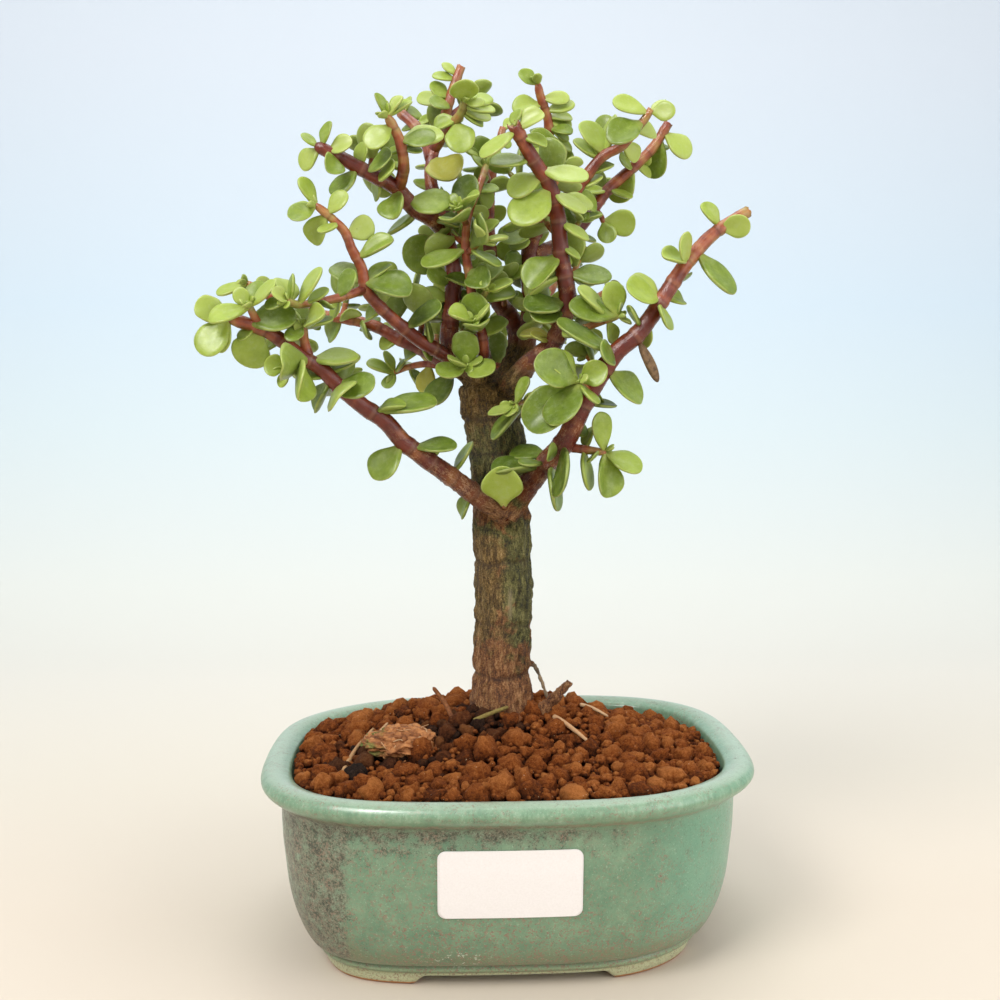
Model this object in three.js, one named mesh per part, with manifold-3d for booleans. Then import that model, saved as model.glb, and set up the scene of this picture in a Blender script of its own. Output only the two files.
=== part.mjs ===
// Dwarf jade bonsai (Portulacaria afra) in a glazed stoneware pot.
// Units are millimetres, +Z is up. The pot's long side runs along X and its front faces -Y.
// Lengths are given from the middle of the pot's underside, at the feet. At the end the whole group
// is moved level, so that the origin is the bottom centre of the box round the pot and the crown.
import * as THREE from 'three';
import { mergeVertices } from 'three/addons/utils/BufferGeometryUtils.js';
import Module from 'manifold-3d';

const wasm = await Module();
wasm.setup();

// ---------------------------------------------------------------- driving dimensions
const GAP = 0.3; // clearance kept between pieces that touch

const POT_HALF_WIDTH = 80;
const POT_HALF_DEPTH = 65.7;
const POT_HEIGHT = 62;
const POT_SIDES = 36; // facets round the pot
const CORNER_POWER = 10; // how squarely the sides meet the cut corners
const CORNER_CUT = 0.807; // share of the half width plus half depth left by the cut corners
const CORNER_SKEW = 0.032; // front left and back right corners are cut less by this, the others more
const FOOT_HEIGHT = 3; // from the table to the pot's underside
const FOOT_INSET = 21;
const FOOT_WIDTH = 12.6;
const FEET_GAP_X = 54; // free length between the front feet
const FEET_GAP_Y = 40; // free length between the side feet
const FLOOR_TOP = 10;
const DRAIN_RADIUS = 6;
const DRAIN_X = 32;
const SCREEN_SIZE = 24;
const SCREEN_THICKNESS = 1;
const SCREEN_SLOT = 2.2;

const LABEL_SIZE = [42.5, 20.8];
const LABEL_THICKNESS = 0.8;
const LABEL_X = -2.1;
const LABEL_Z = 36.6;
const LABEL_CORNER = 2.2;

const SOIL_GRID = [21, 17];
const SOIL_EDGE_HEIGHT = 57.2;
const SOIL_MOUND = { height: 16, x: -3, y: 12, reachX: 50, reachY: 42, power: 1.3, tilt: -0.045 };
const GRAIN_CELL = 6.5;
const GRAIN_RELIEF = 1.9;

const TRUNK_SIDES = 12;
const STEM_SIDES = 5;
const TWIG_SIDES = 4;
const TWIG_RADIUS = 2.05; // stems thinner than this at the foot have fewer sides
const STEM_STEP = 12; // length of one straight facet of a stem
const LEAF_CORNERS = [0, 0.26, 0.62, 0.98]; // places of the outline's corners along a leaf
const LEAF_HALVES = [0, 0.38, 1.04, 0.6]; // half widths there, as shares of the leaf's half width
const THIN_STEM = 1.6; // leaves start on the axis of stems up to this radius
const LEAF_FOOT = 0.8; // and in thicker stems this share of the rest out from it
const LEAF_CLEAR = 0.35; // air kept between leaves
const BLADE_START = 0.3; // share of a leaf that counts as stalk when it is bent clear
const STALK = 0.45; // length of stalk outside the stem that may lie close to it

// ---------------------------------------------------------------- small maths
const rad = THREE.MathUtils.degToRad;
const vec = (p) => new THREE.Vector3(p[0], p[1], p[2]);
const UP = new THREE.Vector3(0, 0, 1);

// Seeded random numbers from 0 to 1 (mulberry32).
function seeded(seed) {
  let state = seed >>> 0;
  return () => {
    state = (state + 0x6d2b79f5) >>> 0;
    let t = state;
    t = Math.imul(t ^ (t >>> 15), t | 1);
    t = (t ^ (t + Math.imul(t ^ (t >>> 7), t | 61))) >>> 0;
    return ((t ^ (t >>> 14)) >>> 0) / 4294967296;
  };
}

// ---------------------------------------------------------------- solids
// A closed geometry as a solid, with its faces turned outwards.
function toSolid(geometry) {
  const bare = geometry.clone();
  bare.deleteAttribute('normal');
  bare.deleteAttribute('uv');
  const merged = mergeVertices(bare, 1e-4);
  const p = merged.getAttribute('position').array;
  const index = merged.index.array;
  const faces = [];
  let volume = 0;
  for (let i = 0; i < index.length; i += 3) {
    const [a, b, c] = [index[i], index[i + 1], index[i + 2]];
    if (a === b || b === c || c === a) continue;
    faces.push(a, b, c);
    const [u, v, w] = [a, b, c].map((k) => new THREE.Vector3(p[3 * k], p[3 * k + 1], p[3 * k + 2]));
    volume += u.dot(v.cross(w));
  }
  if (volume < 0) faces.reverse();
  return new wasm.Manifold(
    new wasm.Mesh({ numProp: 3, vertProperties: new Float32Array(p), triVerts: new Uint32Array(faces) }),
  );
}

function toGeometry(solid) {
  const mesh = solid.getMesh();
  const geometry = new THREE.BufferGeometry();
  const points = new THREE.BufferAttribute(new Float32Array(mesh.vertProperties), 3);
  geometry.setAttribute('position', points);
  geometry.setIndex(new THREE.BufferAttribute(new Uint32Array(mesh.triVerts), 1));
  geometry.computeVertexNormals();
  return geometry;
}

// The largest body of a solid, without specks left by cutting.
function largest(solid) {
  const bodies = solid.decompose();
  return bodies.reduce((best, one) => (one.volume() > best.volume() ? one : best));
}

const join = (solids) => solids.reduce((all, one) => all.add(one));
const cut = (solid, tools) => tools.reduce((left, tool) => left.subtract(tool), solid);

function box(size, centre) {
  const geometry = new THREE.BoxGeometry(...size);
  geometry.translate(...centre);
  return toSolid(geometry);
}

function uprightCylinder(radius, height, centre, sides) {
  const geometry = new THREE.CylinderGeometry(radius, radius, height, sides);
  geometry.rotateX(Math.PI / 2);
  geometry.translate(...centre);
  return toSolid(geometry);
}

// A tube along a curve; radiusAt(share of the length, bearing) gives its radius.
function sweep(curve, steps, sides, radiusAt) {
  const ring = [];
  for (let i = 0; i < sides; i++) {
    const a = (2 * Math.PI * i) / sides;
    ring.push(new THREE.Vector2(Math.cos(a), Math.sin(a)));
  }
  const geometry = new THREE.ExtrudeGeometry(new THREE.Shape(ring), {
    steps,
    bevelEnabled: false,
    extrudePath: curve,
  });
  const centres = curve.getSpacedPoints(steps);
  const position = geometry.getAttribute('position');
  const point = new THREE.Vector3();
  for (let i = 0; i < position.count; i++) {
    point.fromBufferAttribute(position, i);
    let nearest = 0;
    centres.forEach((c, k) => {
      if (c.distanceTo(point) < centres[nearest].distanceTo(point)) nearest = k;
    });
    const centre = centres[nearest];
    const out = point.clone().sub(centre);
    const radius = radiusAt(nearest / steps, Math.atan2(out.y, out.x));
    point.copy(centre).addScaledVector(out, radius);
    position.setXYZ(i, point.x, point.y, point.z);
  }
  return toSolid(geometry);
}

const curveThrough = (points) => new THREE.CatmullRomCurve3(points.map(vec), false, 'centripetal');

// The stretch of a curve between two lengths from its start.
function stretch(curve, from, to, steps) {
  const length = curve.getLength();
  const points = [];
  for (let i = 0; i <= steps; i++) {
    points.push(curve.getPointAt(Math.min(1, (from + ((to - from) * i) / steps) / length)));
  }
  return new THREE.CatmullRomCurve3(points, false, 'centripetal');
}

// ---------------------------------------------------------------- pot
// Distance from the pot's axis to its plan outline, moved in by inset: a rounded
// rectangle whose corners are cut off by a straight line.
function planRadius(angle, inset) {
  const c = Math.abs(Math.cos(angle));
  const s = Math.abs(Math.sin(angle));
  const halfWidth = POT_HALF_WIDTH - inset;
  const halfDepth = POT_HALF_DEPTH - inset;
  const slope = Math.hypot(1 / POT_HALF_WIDTH, 1 / POT_HALF_DEPTH);
  const left = CORNER_CUT + CORNER_SKEW * Math.sign(Math.round(1e6 * Math.sin(2 * angle)));
  const corner = (c / POT_HALF_WIDTH + s / POT_HALF_DEPTH) / (2 * left - inset * slope);
  const p = CORNER_POWER;
  return 1 / ((c / halfWidth) ** p + (s / halfDepth) ** p + corner ** p) ** (1 / p);
}

// A solid whose level outlines follow the pot's plan. Each row is [height, inset],
// and an inset of null is a point on the axis.
function planLoft(profile) {
  const line = profile.map(([z, inset]) => new THREE.Vector2(inset === null ? 0 : 1, z));
  const geometry = new THREE.LatheGeometry(line, POT_SIDES);
  const position = geometry.getAttribute('position');
  for (let i = 0; i < position.count; i++) {
    const [z, inset] = profile[i % profile.length];
    const angle = (2 * Math.PI * Math.floor(i / profile.length)) / POT_SIDES;
    const radius = inset === null ? 0 : planRadius(angle, inset);
    position.setXYZ(i, radius * Math.cos(angle), radius * Math.sin(angle), z);
  }
  return toSolid(geometry);
}

const POT_PROFILE = [
  [FOOT_HEIGHT, null], [FOOT_HEIGHT, 18.6], [6.6, 17.1], [8.5, 14.6], [14, 11.5], [22, 8.9], [32, 7.4],
  [52.5, 6.1], [56.3, 1.5], [59, 0], [61.2, 1.2], [POT_HEIGHT, 4.2], [60.2, 9.2], [22, 17],
  [FLOOR_TOP, 27], [FLOOR_TOP, null],
];

function potFeet() {
  const ring = planLoft([
    [0, null], [0, FOOT_INSET], [FOOT_HEIGHT + 1.5, FOOT_INSET - 1.6], [FOOT_HEIGHT + 1.5, null],
  ]);
  const inside = planLoft([
    [-1, null], [-1, FOOT_INSET + FOOT_WIDTH], [FOOT_HEIGHT, FOOT_INSET + FOOT_WIDTH],
    [FOOT_HEIGHT, null],
  ]);
  const tall = FOOT_HEIGHT + 1;
  const gaps = [
    box([FEET_GAP_X, 2 * POT_HALF_DEPTH, tall], [0, 0, tall / 2 - 1]),
    box([2 * POT_HALF_WIDTH, FEET_GAP_Y, tall], [0, 0, tall / 2 - 1]),
  ];
  return cut(ring, [inside, ...gaps]);
}

function makePot() {
  const drains = [-DRAIN_X, DRAIN_X].map((x) =>
    uprightCylinder(DRAIN_RADIUS, 20, [x, 0, FLOOR_TOP / 2], 12),
  );
  return cut(join([planLoft(POT_PROFILE), potFeet()]), drains);
}

// A thin square screen over a drainage hole, with three slots.
function makeScreen(x) {
  const z = FLOOR_TOP + GAP + SCREEN_THICKNESS / 2;
  const plate = box([SCREEN_SIZE, SCREEN_SIZE, SCREEN_THICKNESS], [x, 0, z]);
  const slots = [-1, 0, 1].map((i) =>
    box([SCREEN_SLOT, SCREEN_SIZE * 0.6, 3], [x + i * 2.4 * SCREEN_SLOT, 0, z]),
  );
  return cut(plate, slots);
}

// The pot's wall around the label, moved out.
function wallBand(out) {
  return planLoft([
    [22, null], [22, 8.9 - out], [32, 7.4 - out], [52.5, 6.1 - out], [52.5, null],
  ]);
}

// A blank sticker with rounded corners that follows the front wall.
function makeLabel() {
  const [w, h, r] = [LABEL_SIZE[0] / 2, LABEL_SIZE[1] / 2, LABEL_CORNER];
  const outline = new THREE.Shape();
  outline.absarc(w - r, h - r, r, 0, Math.PI / 2);
  outline.absarc(-w + r, h - r, r, Math.PI / 2, Math.PI);
  outline.absarc(-w + r, -h + r, r, Math.PI, 1.5 * Math.PI);
  outline.absarc(w - r, -h + r, r, 1.5 * Math.PI, 2 * Math.PI);
  const geometry = new THREE.ExtrudeGeometry(outline, { depth: 40, bevelEnabled: false, curveSegments: 2 });
  geometry.rotateX(Math.PI / 2);
  geometry.translate(LABEL_X, -POT_HALF_DEPTH + 40, LABEL_Z);
  return toSolid(geometry).intersect(cut(wallBand(GAP + LABEL_THICKNESS), [wallBand(GAP)]));
}

// ---------------------------------------------------------------- soil
function moundHeight(x, y) {
  const m = SOIL_MOUND;
  const q = ((x - m.x) / m.reachX) ** 2 + ((y - m.y) / m.reachY) ** 2;
  return SOIL_EDGE_HEIGHT + m.tilt * y + m.height * Math.exp(-(q ** m.power));
}

// Round grains on a loose square lattice, each at its own height.
function grainRelief(x, y) {
  const column = Math.floor(x / GRAIN_CELL);
  const row = Math.floor(y / GRAIN_CELL);
  let top = 0;
  for (let i = column - 1; i <= column + 1; i++) {
    for (let j = row - 1; j <= row + 1; j++) {
      const draw = seeded(1000 + 131 * (i + 50) + (j + 50));
      const cx = (i + 0.2 + 0.6 * draw()) * GRAIN_CELL;
      const cy = (j + 0.2 + 0.6 * draw()) * GRAIN_CELL;
      const size = (0.5 + 0.3 * draw()) * GRAIN_CELL;
      const d = Math.hypot(x - cx, y - cy) / size;
      if (d < 1) top = Math.max(top, Math.sqrt(1 - d * d) * (0.6 + 0.4 * draw()));
    }
  }
  return GRAIN_RELIEF * (top - 0.5);
}

const SOIL_PROFILE = [
  [FLOOR_TOP + GAP, null], [FLOOR_TOP + GAP, 27.7 + GAP], [22, 17.6 + GAP],
  [60.2, 9.5 + GAP], [66, 9.5 + GAP], [90, null],
];

function makeSoil(heldPieces) {
  const size = [2 * POT_HALF_WIDTH, 2 * POT_HALF_DEPTH, 1];
  const geometry = new THREE.BoxGeometry(...size, SOIL_GRID[0], SOIL_GRID[1], 1);
  const position = geometry.getAttribute('position');
  for (let i = 0; i < position.count; i++) {
    const [x, y] = [position.getX(i), position.getY(i)];
    position.setZ(i, position.getZ(i) < 0 ? 0 : moundHeight(x, y) + grainRelief(x, y));
  }
  const over = SCREEN_SIZE + 2 * GAP;
  const screenTop = FLOOR_TOP + 2 * GAP + SCREEN_THICKNESS;
  const screens = [-DRAIN_X, DRAIN_X].map((x) => box([over, over, 8], [x, 0, screenTop - 4]));
  return cut(toSolid(geometry).intersect(planLoft(SOIL_PROFILE)), [...screens, ...heldPieces]);
}

// ---------------------------------------------------------------- trunk and roots
const TRUNK_PATH = [
  [-2, 6, 50], [-2, 6, 75], [-1, 6, 109], [-2, 6, 136], [-3, 7, 157], [-5, 8, 172], [-6, 8, 184],
];
const TRUNK_RADIUS = 9.7;
const TRUNK_STEPS = 13;
const TRUNK_RINGS = [0.21, 0.42, 0.6, 0.7, 0.86]; // old leaf scars, as shares of its length
const FLARE_TOP = 84;
const FLARE = 3.4;

function trunkRadius(share, bearing, extra) {
  const z = TRUNK_PATH[0][2] + share * (TRUNK_PATH.at(-1)[2] - TRUNK_PATH[0][2]);
  const flare = FLARE * Math.max(0, (FLARE_TOP - z) / 20) ** 1.5;
  const lobes = 1 + 0.35 * Math.cos(3 * bearing + 0.6);
  const scar = TRUNK_RINGS.some((ring) => Math.abs(ring - share) < 0.5 / TRUNK_STEPS) ? -0.7 : 0;
  const ridges = 0.35 * Math.cos(5 * bearing + 9 * share);
  const head = share > 0.9 ? 0.6 : 0;
  return TRUNK_RADIUS + Math.min(flare, 4) * lobes + scar + ridges + head + extra;
}

// Roots that show above the soil, all grown from the trunk's foot.
const ROOTS = {
  cut_root: {
    path: [[2, 3, 64], [8, -1, 69], [13, -2, 75], [17, -3, 79], [21, -3, 83]],
    radii: [3.2, 1.9],
  },
  arching_root: {
    path: [[6, 6, 88], [9, 6, 87], [12, 4, 81], [14, 2, 74], [15, 1, 66]],
    radii: [0.8, 0.6],
  },
};

function rootSolid(root, extra) {
  const curve = curveThrough(root.path);
  const [start, end] = root.radii;
  return sweep(curve, 8, STEM_SIDES, (share) => start + (end - start) * share + extra);
}

function trunkAndRoots(extra) {
  const trunk = sweep(curveThrough(TRUNK_PATH), TRUNK_STEPS, TRUNK_SIDES, (share, bearing) =>
    trunkRadius(share, bearing, extra),
  );
  return join([trunk, ...Object.values(ROOTS).map((root) => rootSolid(root, extra))]);
}

// ---------------------------------------------------------------- litter on the soil
// Each lies half sunk in the soil: path points are [x, y, height above the mound].
const LITTER = {
  root_pale_long: { path: [[15, -4, 0.6], [19, -10, 1.4], [26, -19, 1.2]], radius: 0.8 },
  root_pale_short: { path: [[26, 15, 1.2], [30, 11, 1.8], [35, 7, 1.4]], radius: 0.7 },
  twig_green: { path: [[-12, -10, 1], [-6, -8, 2.2], [0, -5, 3]], radius: 0.9 },
  twig_red: { path: [[-18, -5, -1], [-21, -1, 4], [-25, 0, 10]], radius: 0.8 },
  stalk_left: { path: [[-53, -28, 0.8], [-50, -14, 1.8], [-45, 1, 1.6]], radius: 0.8 },
  stalk_right: { path: [[-49, -26, 1], [-46, -13, 2], [-40, 3, 1.4]], radius: 0.7 },
};

function litterSolid(piece, extra) {
  const points = piece.path.map(([x, y, h]) => [x, y, moundHeight(x, y) + h]);
  return sweep(curveThrough(points), 4, 4, () => piece.radius + extra);
}

// A pebble-like lump: a sphere pressed to the given half sizes and roughened.
function lump(half, centre, seed, extra) {
  const ball = new THREE.IcosahedronGeometry(1, 1).deleteAttribute('uv').deleteAttribute('normal');
  const geometry = mergeVertices(ball);
  const draw = seeded(seed);
  const position = geometry.getAttribute('position');
  for (let i = 0; i < position.count; i++) {
    const rough = 0.85 + 0.3 * draw();
    const reach = half.map((size) => size * rough + extra);
    position.setX(i, position.getX(i) * reach[0]);
    position.setY(i, position.getY(i) * reach[1]);
    position.setZ(i, position.getZ(i) * reach[2]);
  }
  geometry.translate(...centre);
  return toSolid(geometry);
}

const LUMPS = {
  bark_chip: { half: [3.6, 2.2, 2], at: [1, -9], seed: 5 },
  fibre_clump: { half: [12, 7, 4.2], at: [-35, -10], seed: 9 },
};

const lumpSolid = (piece, extra) =>
  lump(piece.half, [...piece.at, moundHeight(...piece.at) + 0.5], piece.seed, extra);

// ---------------------------------------------------------------- limbs
// Every limb of the tree: the solid it belongs to, what it grows from, its radius at the foot and
// at the tip, the points its axis runs through, and its leaves. A leaf's row is its place along
// the limb (percent), its bearing from +X and its rise (degrees), its length, how far its upper
// face is rolled over from facing up (degrees), and its width as a share of its length.
const LIMBS = {
  low_left: {
    node: 'branch_low_left', parent: 'trunk', radii: [3.4, 1.9],
    path: [[-1, -5, 140], [-8, -8, 144], [-17, -12, 151], [-29, -17, 160], [-34, -19, 164],
      [-39, -21, 170], [-46, -23, 175], [-53, -25, 181], [-59, -27, 187], [-64, -29, 190],
      [-70, -31, 195], [-75, -33, 198], [-81, -35, 200], [-85, -36, 201]],
    leaves: [
      [95, -20, 10, 15.5, 55, 0.75], [100, -170, 25, 10.5, -75, 0.75], [100, -165, -50, 13.5, -65, 0.75],
      [100, 135, -60, 11, -90, 0.75], [90, 130, -50, 12.5, -140, 0.9], [75, 5, 5, 15.5, 30, 0.6],
      [68, -20, 35, 12, 50, 0.6], [68, 95, 55, 7.5, -45, 0.6], [67, -145, 10, 9.5, -45, 0.75],
      [65, -25, -10, 14.5, 50, 0.75], [63, 85, -75, 13.5, 170, 0.9], [67, 140, -55, 13, -65, 0.6],
      [77, -55, -80, 19, -40, 0.6], [75, 130, -65, 19, -85, 0.6], [52, 10, 10, 21, 20, 0.6],
      [37, -10, 0, 15.5, 25, 0.6], [39, -170, -50, 15, -40, 0.75], [21, 30, 55, 13.5, -10, 0.6],
      [92, -135, -30, 6.5, -20, 0.75], [52, 40, -20, 11.5, 45, 0.6], [29, 70, 35, 11, -30, 0.6],
      [84, 145, -20, 9, -55, 0.6], [13, 110, -40, 11.5, -90, 0.6],
    ],
  },
  low_left_bud: {
    node: 'branch_low_left', parent: 'low_left', radii: [1.3, 1.1],
    path: [[-75, -33, 198], [-77, -36, 202], [-78, -38, 205]],
    leaves: [
      [96, -160, -20, 13, -45, 0.6], [97, -165, 50, 6.5, -95, 0.75], [100, -15, 40, 11, 50, 0.6],
      [95, 60, 60, 9, 10, 0.75],
    ],
  },
  low_left_riser: {
    node: 'branch_low_left', parent: 'low_left', radii: [1.7, 1.3],
    path: [[-62, -28, 190], [-63, -29, 195], [-63, -31, 200]],
    leaves: [
      [100, 180, 40, 10, -20, 0.6], [100, -5, 50, 13.5, 35, 0.6], [100, -110, -5, 8.5, -35, 0.6],
      [100, -10, 10, 9.5, 25, 0.6], [96, 135, -50, 8.5, -90, 0.75],
    ],
  },
  low_left_drop: {
    node: 'branch_low_left', parent: 'low_left', radii: [1.1, 0.9],
    path: [[-64, -29, 190], [-67, -31, 188], [-68, -33, 186]],
    leaves: [
      [100, -165, 10, 7, -90, 1], [100, -150, -70, 6.5, -20, 0.6], [79, 90, 45, 7, -55, 0.6],
    ],
  },
  low_right: {
    node: 'branch_low_right', parent: 'trunk', radii: [3.9, 1.9],
    path: [[-1, -5, 140], [6, -8, 149], [12, -12, 157], [17, -15, 163], [23, -19, 176], [28, -21, 185],
      [33, -22, 192], [39, -22, 197], [43, -22, 202], [47, -21, 208], [53, -20, 217], [57, -19, 222],
      [64, -17, 229], [75, -15, 236]],
    leaves: [
      [51, -170, 20, 22.5, -35, 0.6], [68, -165, 0, 15, -50, 0.75], [68, 175, 40, 12, -50, 0.6],
      [68, 0, 60, 8, 35, 0.6], [69, 10, -5, 9.5, 60, 0.75], [67, 75, -70, 11.5, 135, 0.75],
      [62, 110, -60, 10, -125, 0.75], [59, 115, -10, 9, -65, 0.75], [50, -160, 5, 11.5, -70, 0.75],
      [46, 15, -40, 16.5, 55, 0.75], [40, 85, -60, 12, -180, 0.9], [26, 45, 30, 10, 50, 0.75],
      [17, -165, -10, 18, -15, 0.6], [18, 160, -35, 11.5, -45, 0.6],
      [19, 70, -70, 17.5, 100, 0.6], [24, -120, -80, 22.5, 45, 0.6], [21, 55, -70, 21.5, 75, 0.6],
      [22, 120, -55, 10.5, -75, 0.6], [80, -170, 0, 13.5, -55, 0.6], [80, -170, 70, 12.5, -70, 0.75],
      [83, -10, -50, 18, 40, 0.6], [92, -170, 45, 10, -60, 0.6], [91, 20, -20, 10, 110, 0.75],
      [20, 155, 5, 15, -25, 0.6], [36, 45, 15, 11.5, 15, 0.6], [73, 45, 30, 10, 0, 0.6],
      [57, -10, -62, 16, 40, 0.4],
    ],
  },
  crotch_stalk: {
    node: 'trunk', parent: 'trunk', radii: [1.3, 1.1],
    path: [[-1, -3, 138], [-1, -7, 141], [-2, -11, 143]],
    leaves: [
      [100, -115, 75, 16, 160, 0.85],
    ],
  },
  rosette_stalk: {
    node: 'branch_low_right', parent: 'low_right', radii: [1.5, 1.2],
    path: [[25, -20, 179], [22, -24, 181], [20, -27, 183]],
    leaves: [
      [97, -160, 20, 16.5, -70, 0.75], [93, 170, 40, 13.5, -50, 0.75], [90, -20, 25, 10, 95, 0.85],
      [85, -145, -50, 17.5, -20, 0.75], [77, 180, -45, 21.5, -65, 0.75], [79, 60, -60, 10, 105, 0.6],
    ],
  },
  low_right_side: {
    node: 'branch_low_right', parent: 'low_right', radii: [1.6, 1.2],
    path: [[17, -14, 162], [24, -15, 161], [31, -16, 160]],
    leaves: [
      [100, -135, 75, 13.5, -95, 0.6], [97, -80, -80, 14.5, -25, 0.75], [100, -5, -25, 13, 40, 0.75],
      [47, -75, -75, 13.5, -40, 0.6], [49, 65, 55, 9.5, -30, 0.6], [78, 135, -30, 6.5, -60, 0.75],
    ],
  },
  tuft_left: {
    node: 'tuft_left', parent: 'trunk', radii: [1.3, 1.1],
    path: [[-10, 0, 186], [-13, -4, 187], [-14, -7, 188]],
    leaves: [
      [85, -95, 65, 12, -180, 0.75], [85, 30, 50, 7, 5, 0.6], [53, -15, 15, 12, 50, 0.75],
      [78, -150, -15, 12.5, -35, 0.6], [84, 170, 15, 10.5, -35, 0.6],
    ],
  },
  tuft_right: {
    node: 'tuft_right', parent: 'trunk', radii: [1, 0.8],
    path: [[0, 3, 173], [5, -5, 176], [4, -10, 176], [1, -13, 175]],
    leaves: [
      [95, -30, 65, 10, 50, 0.6], [95, -160, -20, 10, -25, 0.6], [89, -115, -25, 7.5, 15, 0.6],
      [56, -160, -45, 16.5, 0, 0.6], [79, 20, 20, 7, 30, 0.75],
    ],
  },
  front_shoot: {
    node: 'branch_front_shoot', parent: 'trunk', radii: [1.8, 1.1],
    path: [[-9, 0, 183], [-8, -6, 194], [-11, -9, 206], [-13, -11, 217], [-14, -12, 225],
      [-13, -11, 235], [-10, -8, 243], [-7, -6, 252]],
    leaves: [
      [51, -25, -45, 12.5, 75, 0.75], [60, -165, -25, 15.5, -25, 0.6], [63, -10, 30, 12.5, 50, 0.6],
      [74, 125, 65, 9.5, 5, 0.6], [79, -30, -30, 6.5, 85, 0.75], [56, 35, 60, 10, 15, 0.75],
      [86, -15, 20, 8, 55, 0.6], [88, 40, -50, 9, 95, 0.75], [97, 155, 55, 7.5, -30, 0.6],
      [99, 15, 45, 6.5, 55, 0.75], [99, 125, -45, 6.5, -105, 0.75], [42, 35, 40, 14.5, 20, 0.6],
      [22, 20, 35, 10, 40, 0.75], [44, 140, 20, 10, -35, 0.6], [75, 40, 40, 9.5, 15, 0.75],
      [29, 135, 45, 9.5, -25, 0.75],
    ],
  },
  front_right: {
    node: 'branch_front_right', parent: 'trunk', radii: [3.4, 2],
    path: [[0, 0, 181], [6, -6, 188], [14, -10, 195], [18, -14, 208], [16, -16, 221], [14, -18, 237],
      [11, -21, 244], [7, -24, 249], [0, -30, 259]],
    leaves: [
      [98, -170, -40, 14, -30, 0.6], [87, -175, -10, 13.5, -40, 0.6], [76, -150, -45, 17.5, -40, 0.75],
      [80, 160, -20, 12.5, -65, 0.75], [98, -5, 30, 9.5, 55, 0.75], [96, 45, -15, 9, 70, 0.6],
      [83, -15, -15, 15.5, 45, 0.6], [75, -15, -60, 13, 35, 0.6], [72, 25, -5, 13, 55, 0.6],
      [65, 0, -35, 11.5, 35, 0.6], [58, 0, -45, 8.5, 40, 0.6], [55, -165, -50, 16, -35, 0.75],
      [48, -155, -30, 13.5, -5, 0.6], [39, 170, -20, 15.5, -60, 0.75], [36, -150, -15, 14, -45, 0.75],
      [47, 0, 0, 15, 50, 0.6], [26, 155, 5, 12, -20, 0.6], [24, 150, -15, 8.5, -50, 0.75],
      [99, 75, 60, 6.5, -35, 0.75], [53, 45, -30, 10, 75, 0.6], [35, 40, 30, 11, 10, 0.6],
      [18, 45, -15, 11, 60, 0.6],
    ],
  },
  front_right_side: {
    node: 'branch_front_right', parent: 'front_right', radii: [1.3, 1],
    path: [[15, -10, 197], [22, -15, 199], [28, -19, 201], [34, -22, 203]],
    leaves: [
      [99, -175, 10, 16, -50, 0.6], [99, 180, 75, 11, -80, 0.75], [85, 160, 40, 14.5, -15, 0.6],
      [81, 45, -60, 8, 90, 0.75], [53, 40, -55, 8, 80, 0.75], [38, 120, 35, 9, -10, 0.6],
    ],
  },
  mid_left: {
    node: 'branch_mid_left', parent: 'trunk', radii: [2.7, 1.2],
    path: [[-10, 2, 185], [-20, -4, 191], [-29, -9, 196], [-33, -12, 199], [-41, -17, 206],
      [-45, -20, 211], [-46, -21, 217], [-49, -22, 223], [-51, -23, 228], [-55, -24, 232],
      [-60, -25, 236]],
    leaves: [
      [64, 155, 25, 12.5, -40, 0.75], [65, -15, -15, 16, 40, 0.75], [64, 40, 30, 11, 15, 0.6],
      [39, -20, 30, 14.5, 50, 0.6], [74, -10, 25, 13, 55, 0.6], [83, 20, 25, 9.5, 90, 0.8],
      [94, 145, -50, 10.5, -95, 0.75], [89, -155, -40, 9.5, -30, 0.6], [94, -15, 40, 9, 65, 0.75],
      [100, -155, 60, 9.5, -55, 0.75], [99, -160, -25, 9.5, -55, 0.75], [100, 160, -10, 10, -50, 0.6],
      [30, 55, -35, 10.5, 85, 0.6], [21, 110, 50, 10, 25, 0.6], [51, 125, -15, 10, -65, 0.6],
    ],
  },
  mid_left_fork: {
    node: 'branch_mid_left', parent: 'mid_left', radii: [1.5, 1.1],
    path: [[-45, -20, 211], [-52, -26, 208], [-59, -31, 206], [-64, -36, 205], [-67, -40, 206]],
    leaves: [
      [83, -15, 55, 13, 50, 0.6], [74, 35, 30, 8.5, 20, 0.6], [93, 150, 60, 11, -10, 0.75],
      [94, 35, 80, 8.5, -5, 0.6], [36, -20, 55, 10, 65, 0.75], [32, 135, -55, 7.5, -90, 0.6],
      [100, 165, -10, 7.5, -50, 0.6], [56, 45, -20, 7.5, 55, 0.6], [100, -140, 25, 6.5, -70, 0.75],
    ],
  },
  upright: {
    node: 'branch_upright', parent: 'trunk', radii: [3.4, 1.4],
    path: [[-8, 4, 183], [-15, 2, 189], [-19, 1, 195], [-18, 0, 209], [-18, 0, 221], [-22, 2, 236],
      [-25, 3, 248], [-24, 4, 258], [-21, 3, 266], [-18, 2, 276], [-15, 2, 284]],
    leaves: [
      [97, -180, 40, 6.5, -55, 0.6], [96, -175, 5, 8, -55, 0.6], [90, 180, 35, 8, -55, 0.75],
      [89, 165, 10, 11, -45, 0.6], [89, -135, -20, 9, -50, 0.75], [72, -35, -45, 16.5, 45, 0.75],
      [48, -30, 40, 8.5, 75, 0.75], [47, -30, 20, 9, 55, 0.6], [42, 170, 15, 16.5, -95, 0.75],
      [44, -165, 50, 11, -45, 0.6], [35, -165, -15, 10.5, -70, 0.75], [26, -30, -50, 18, 70, 0.85],
      [17, 135, 50, 12, -15, 0.75], [9, 50, 50, 11, 0, 0.75], [70, 125, 40, 9.5, -15, 0.75],
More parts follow.
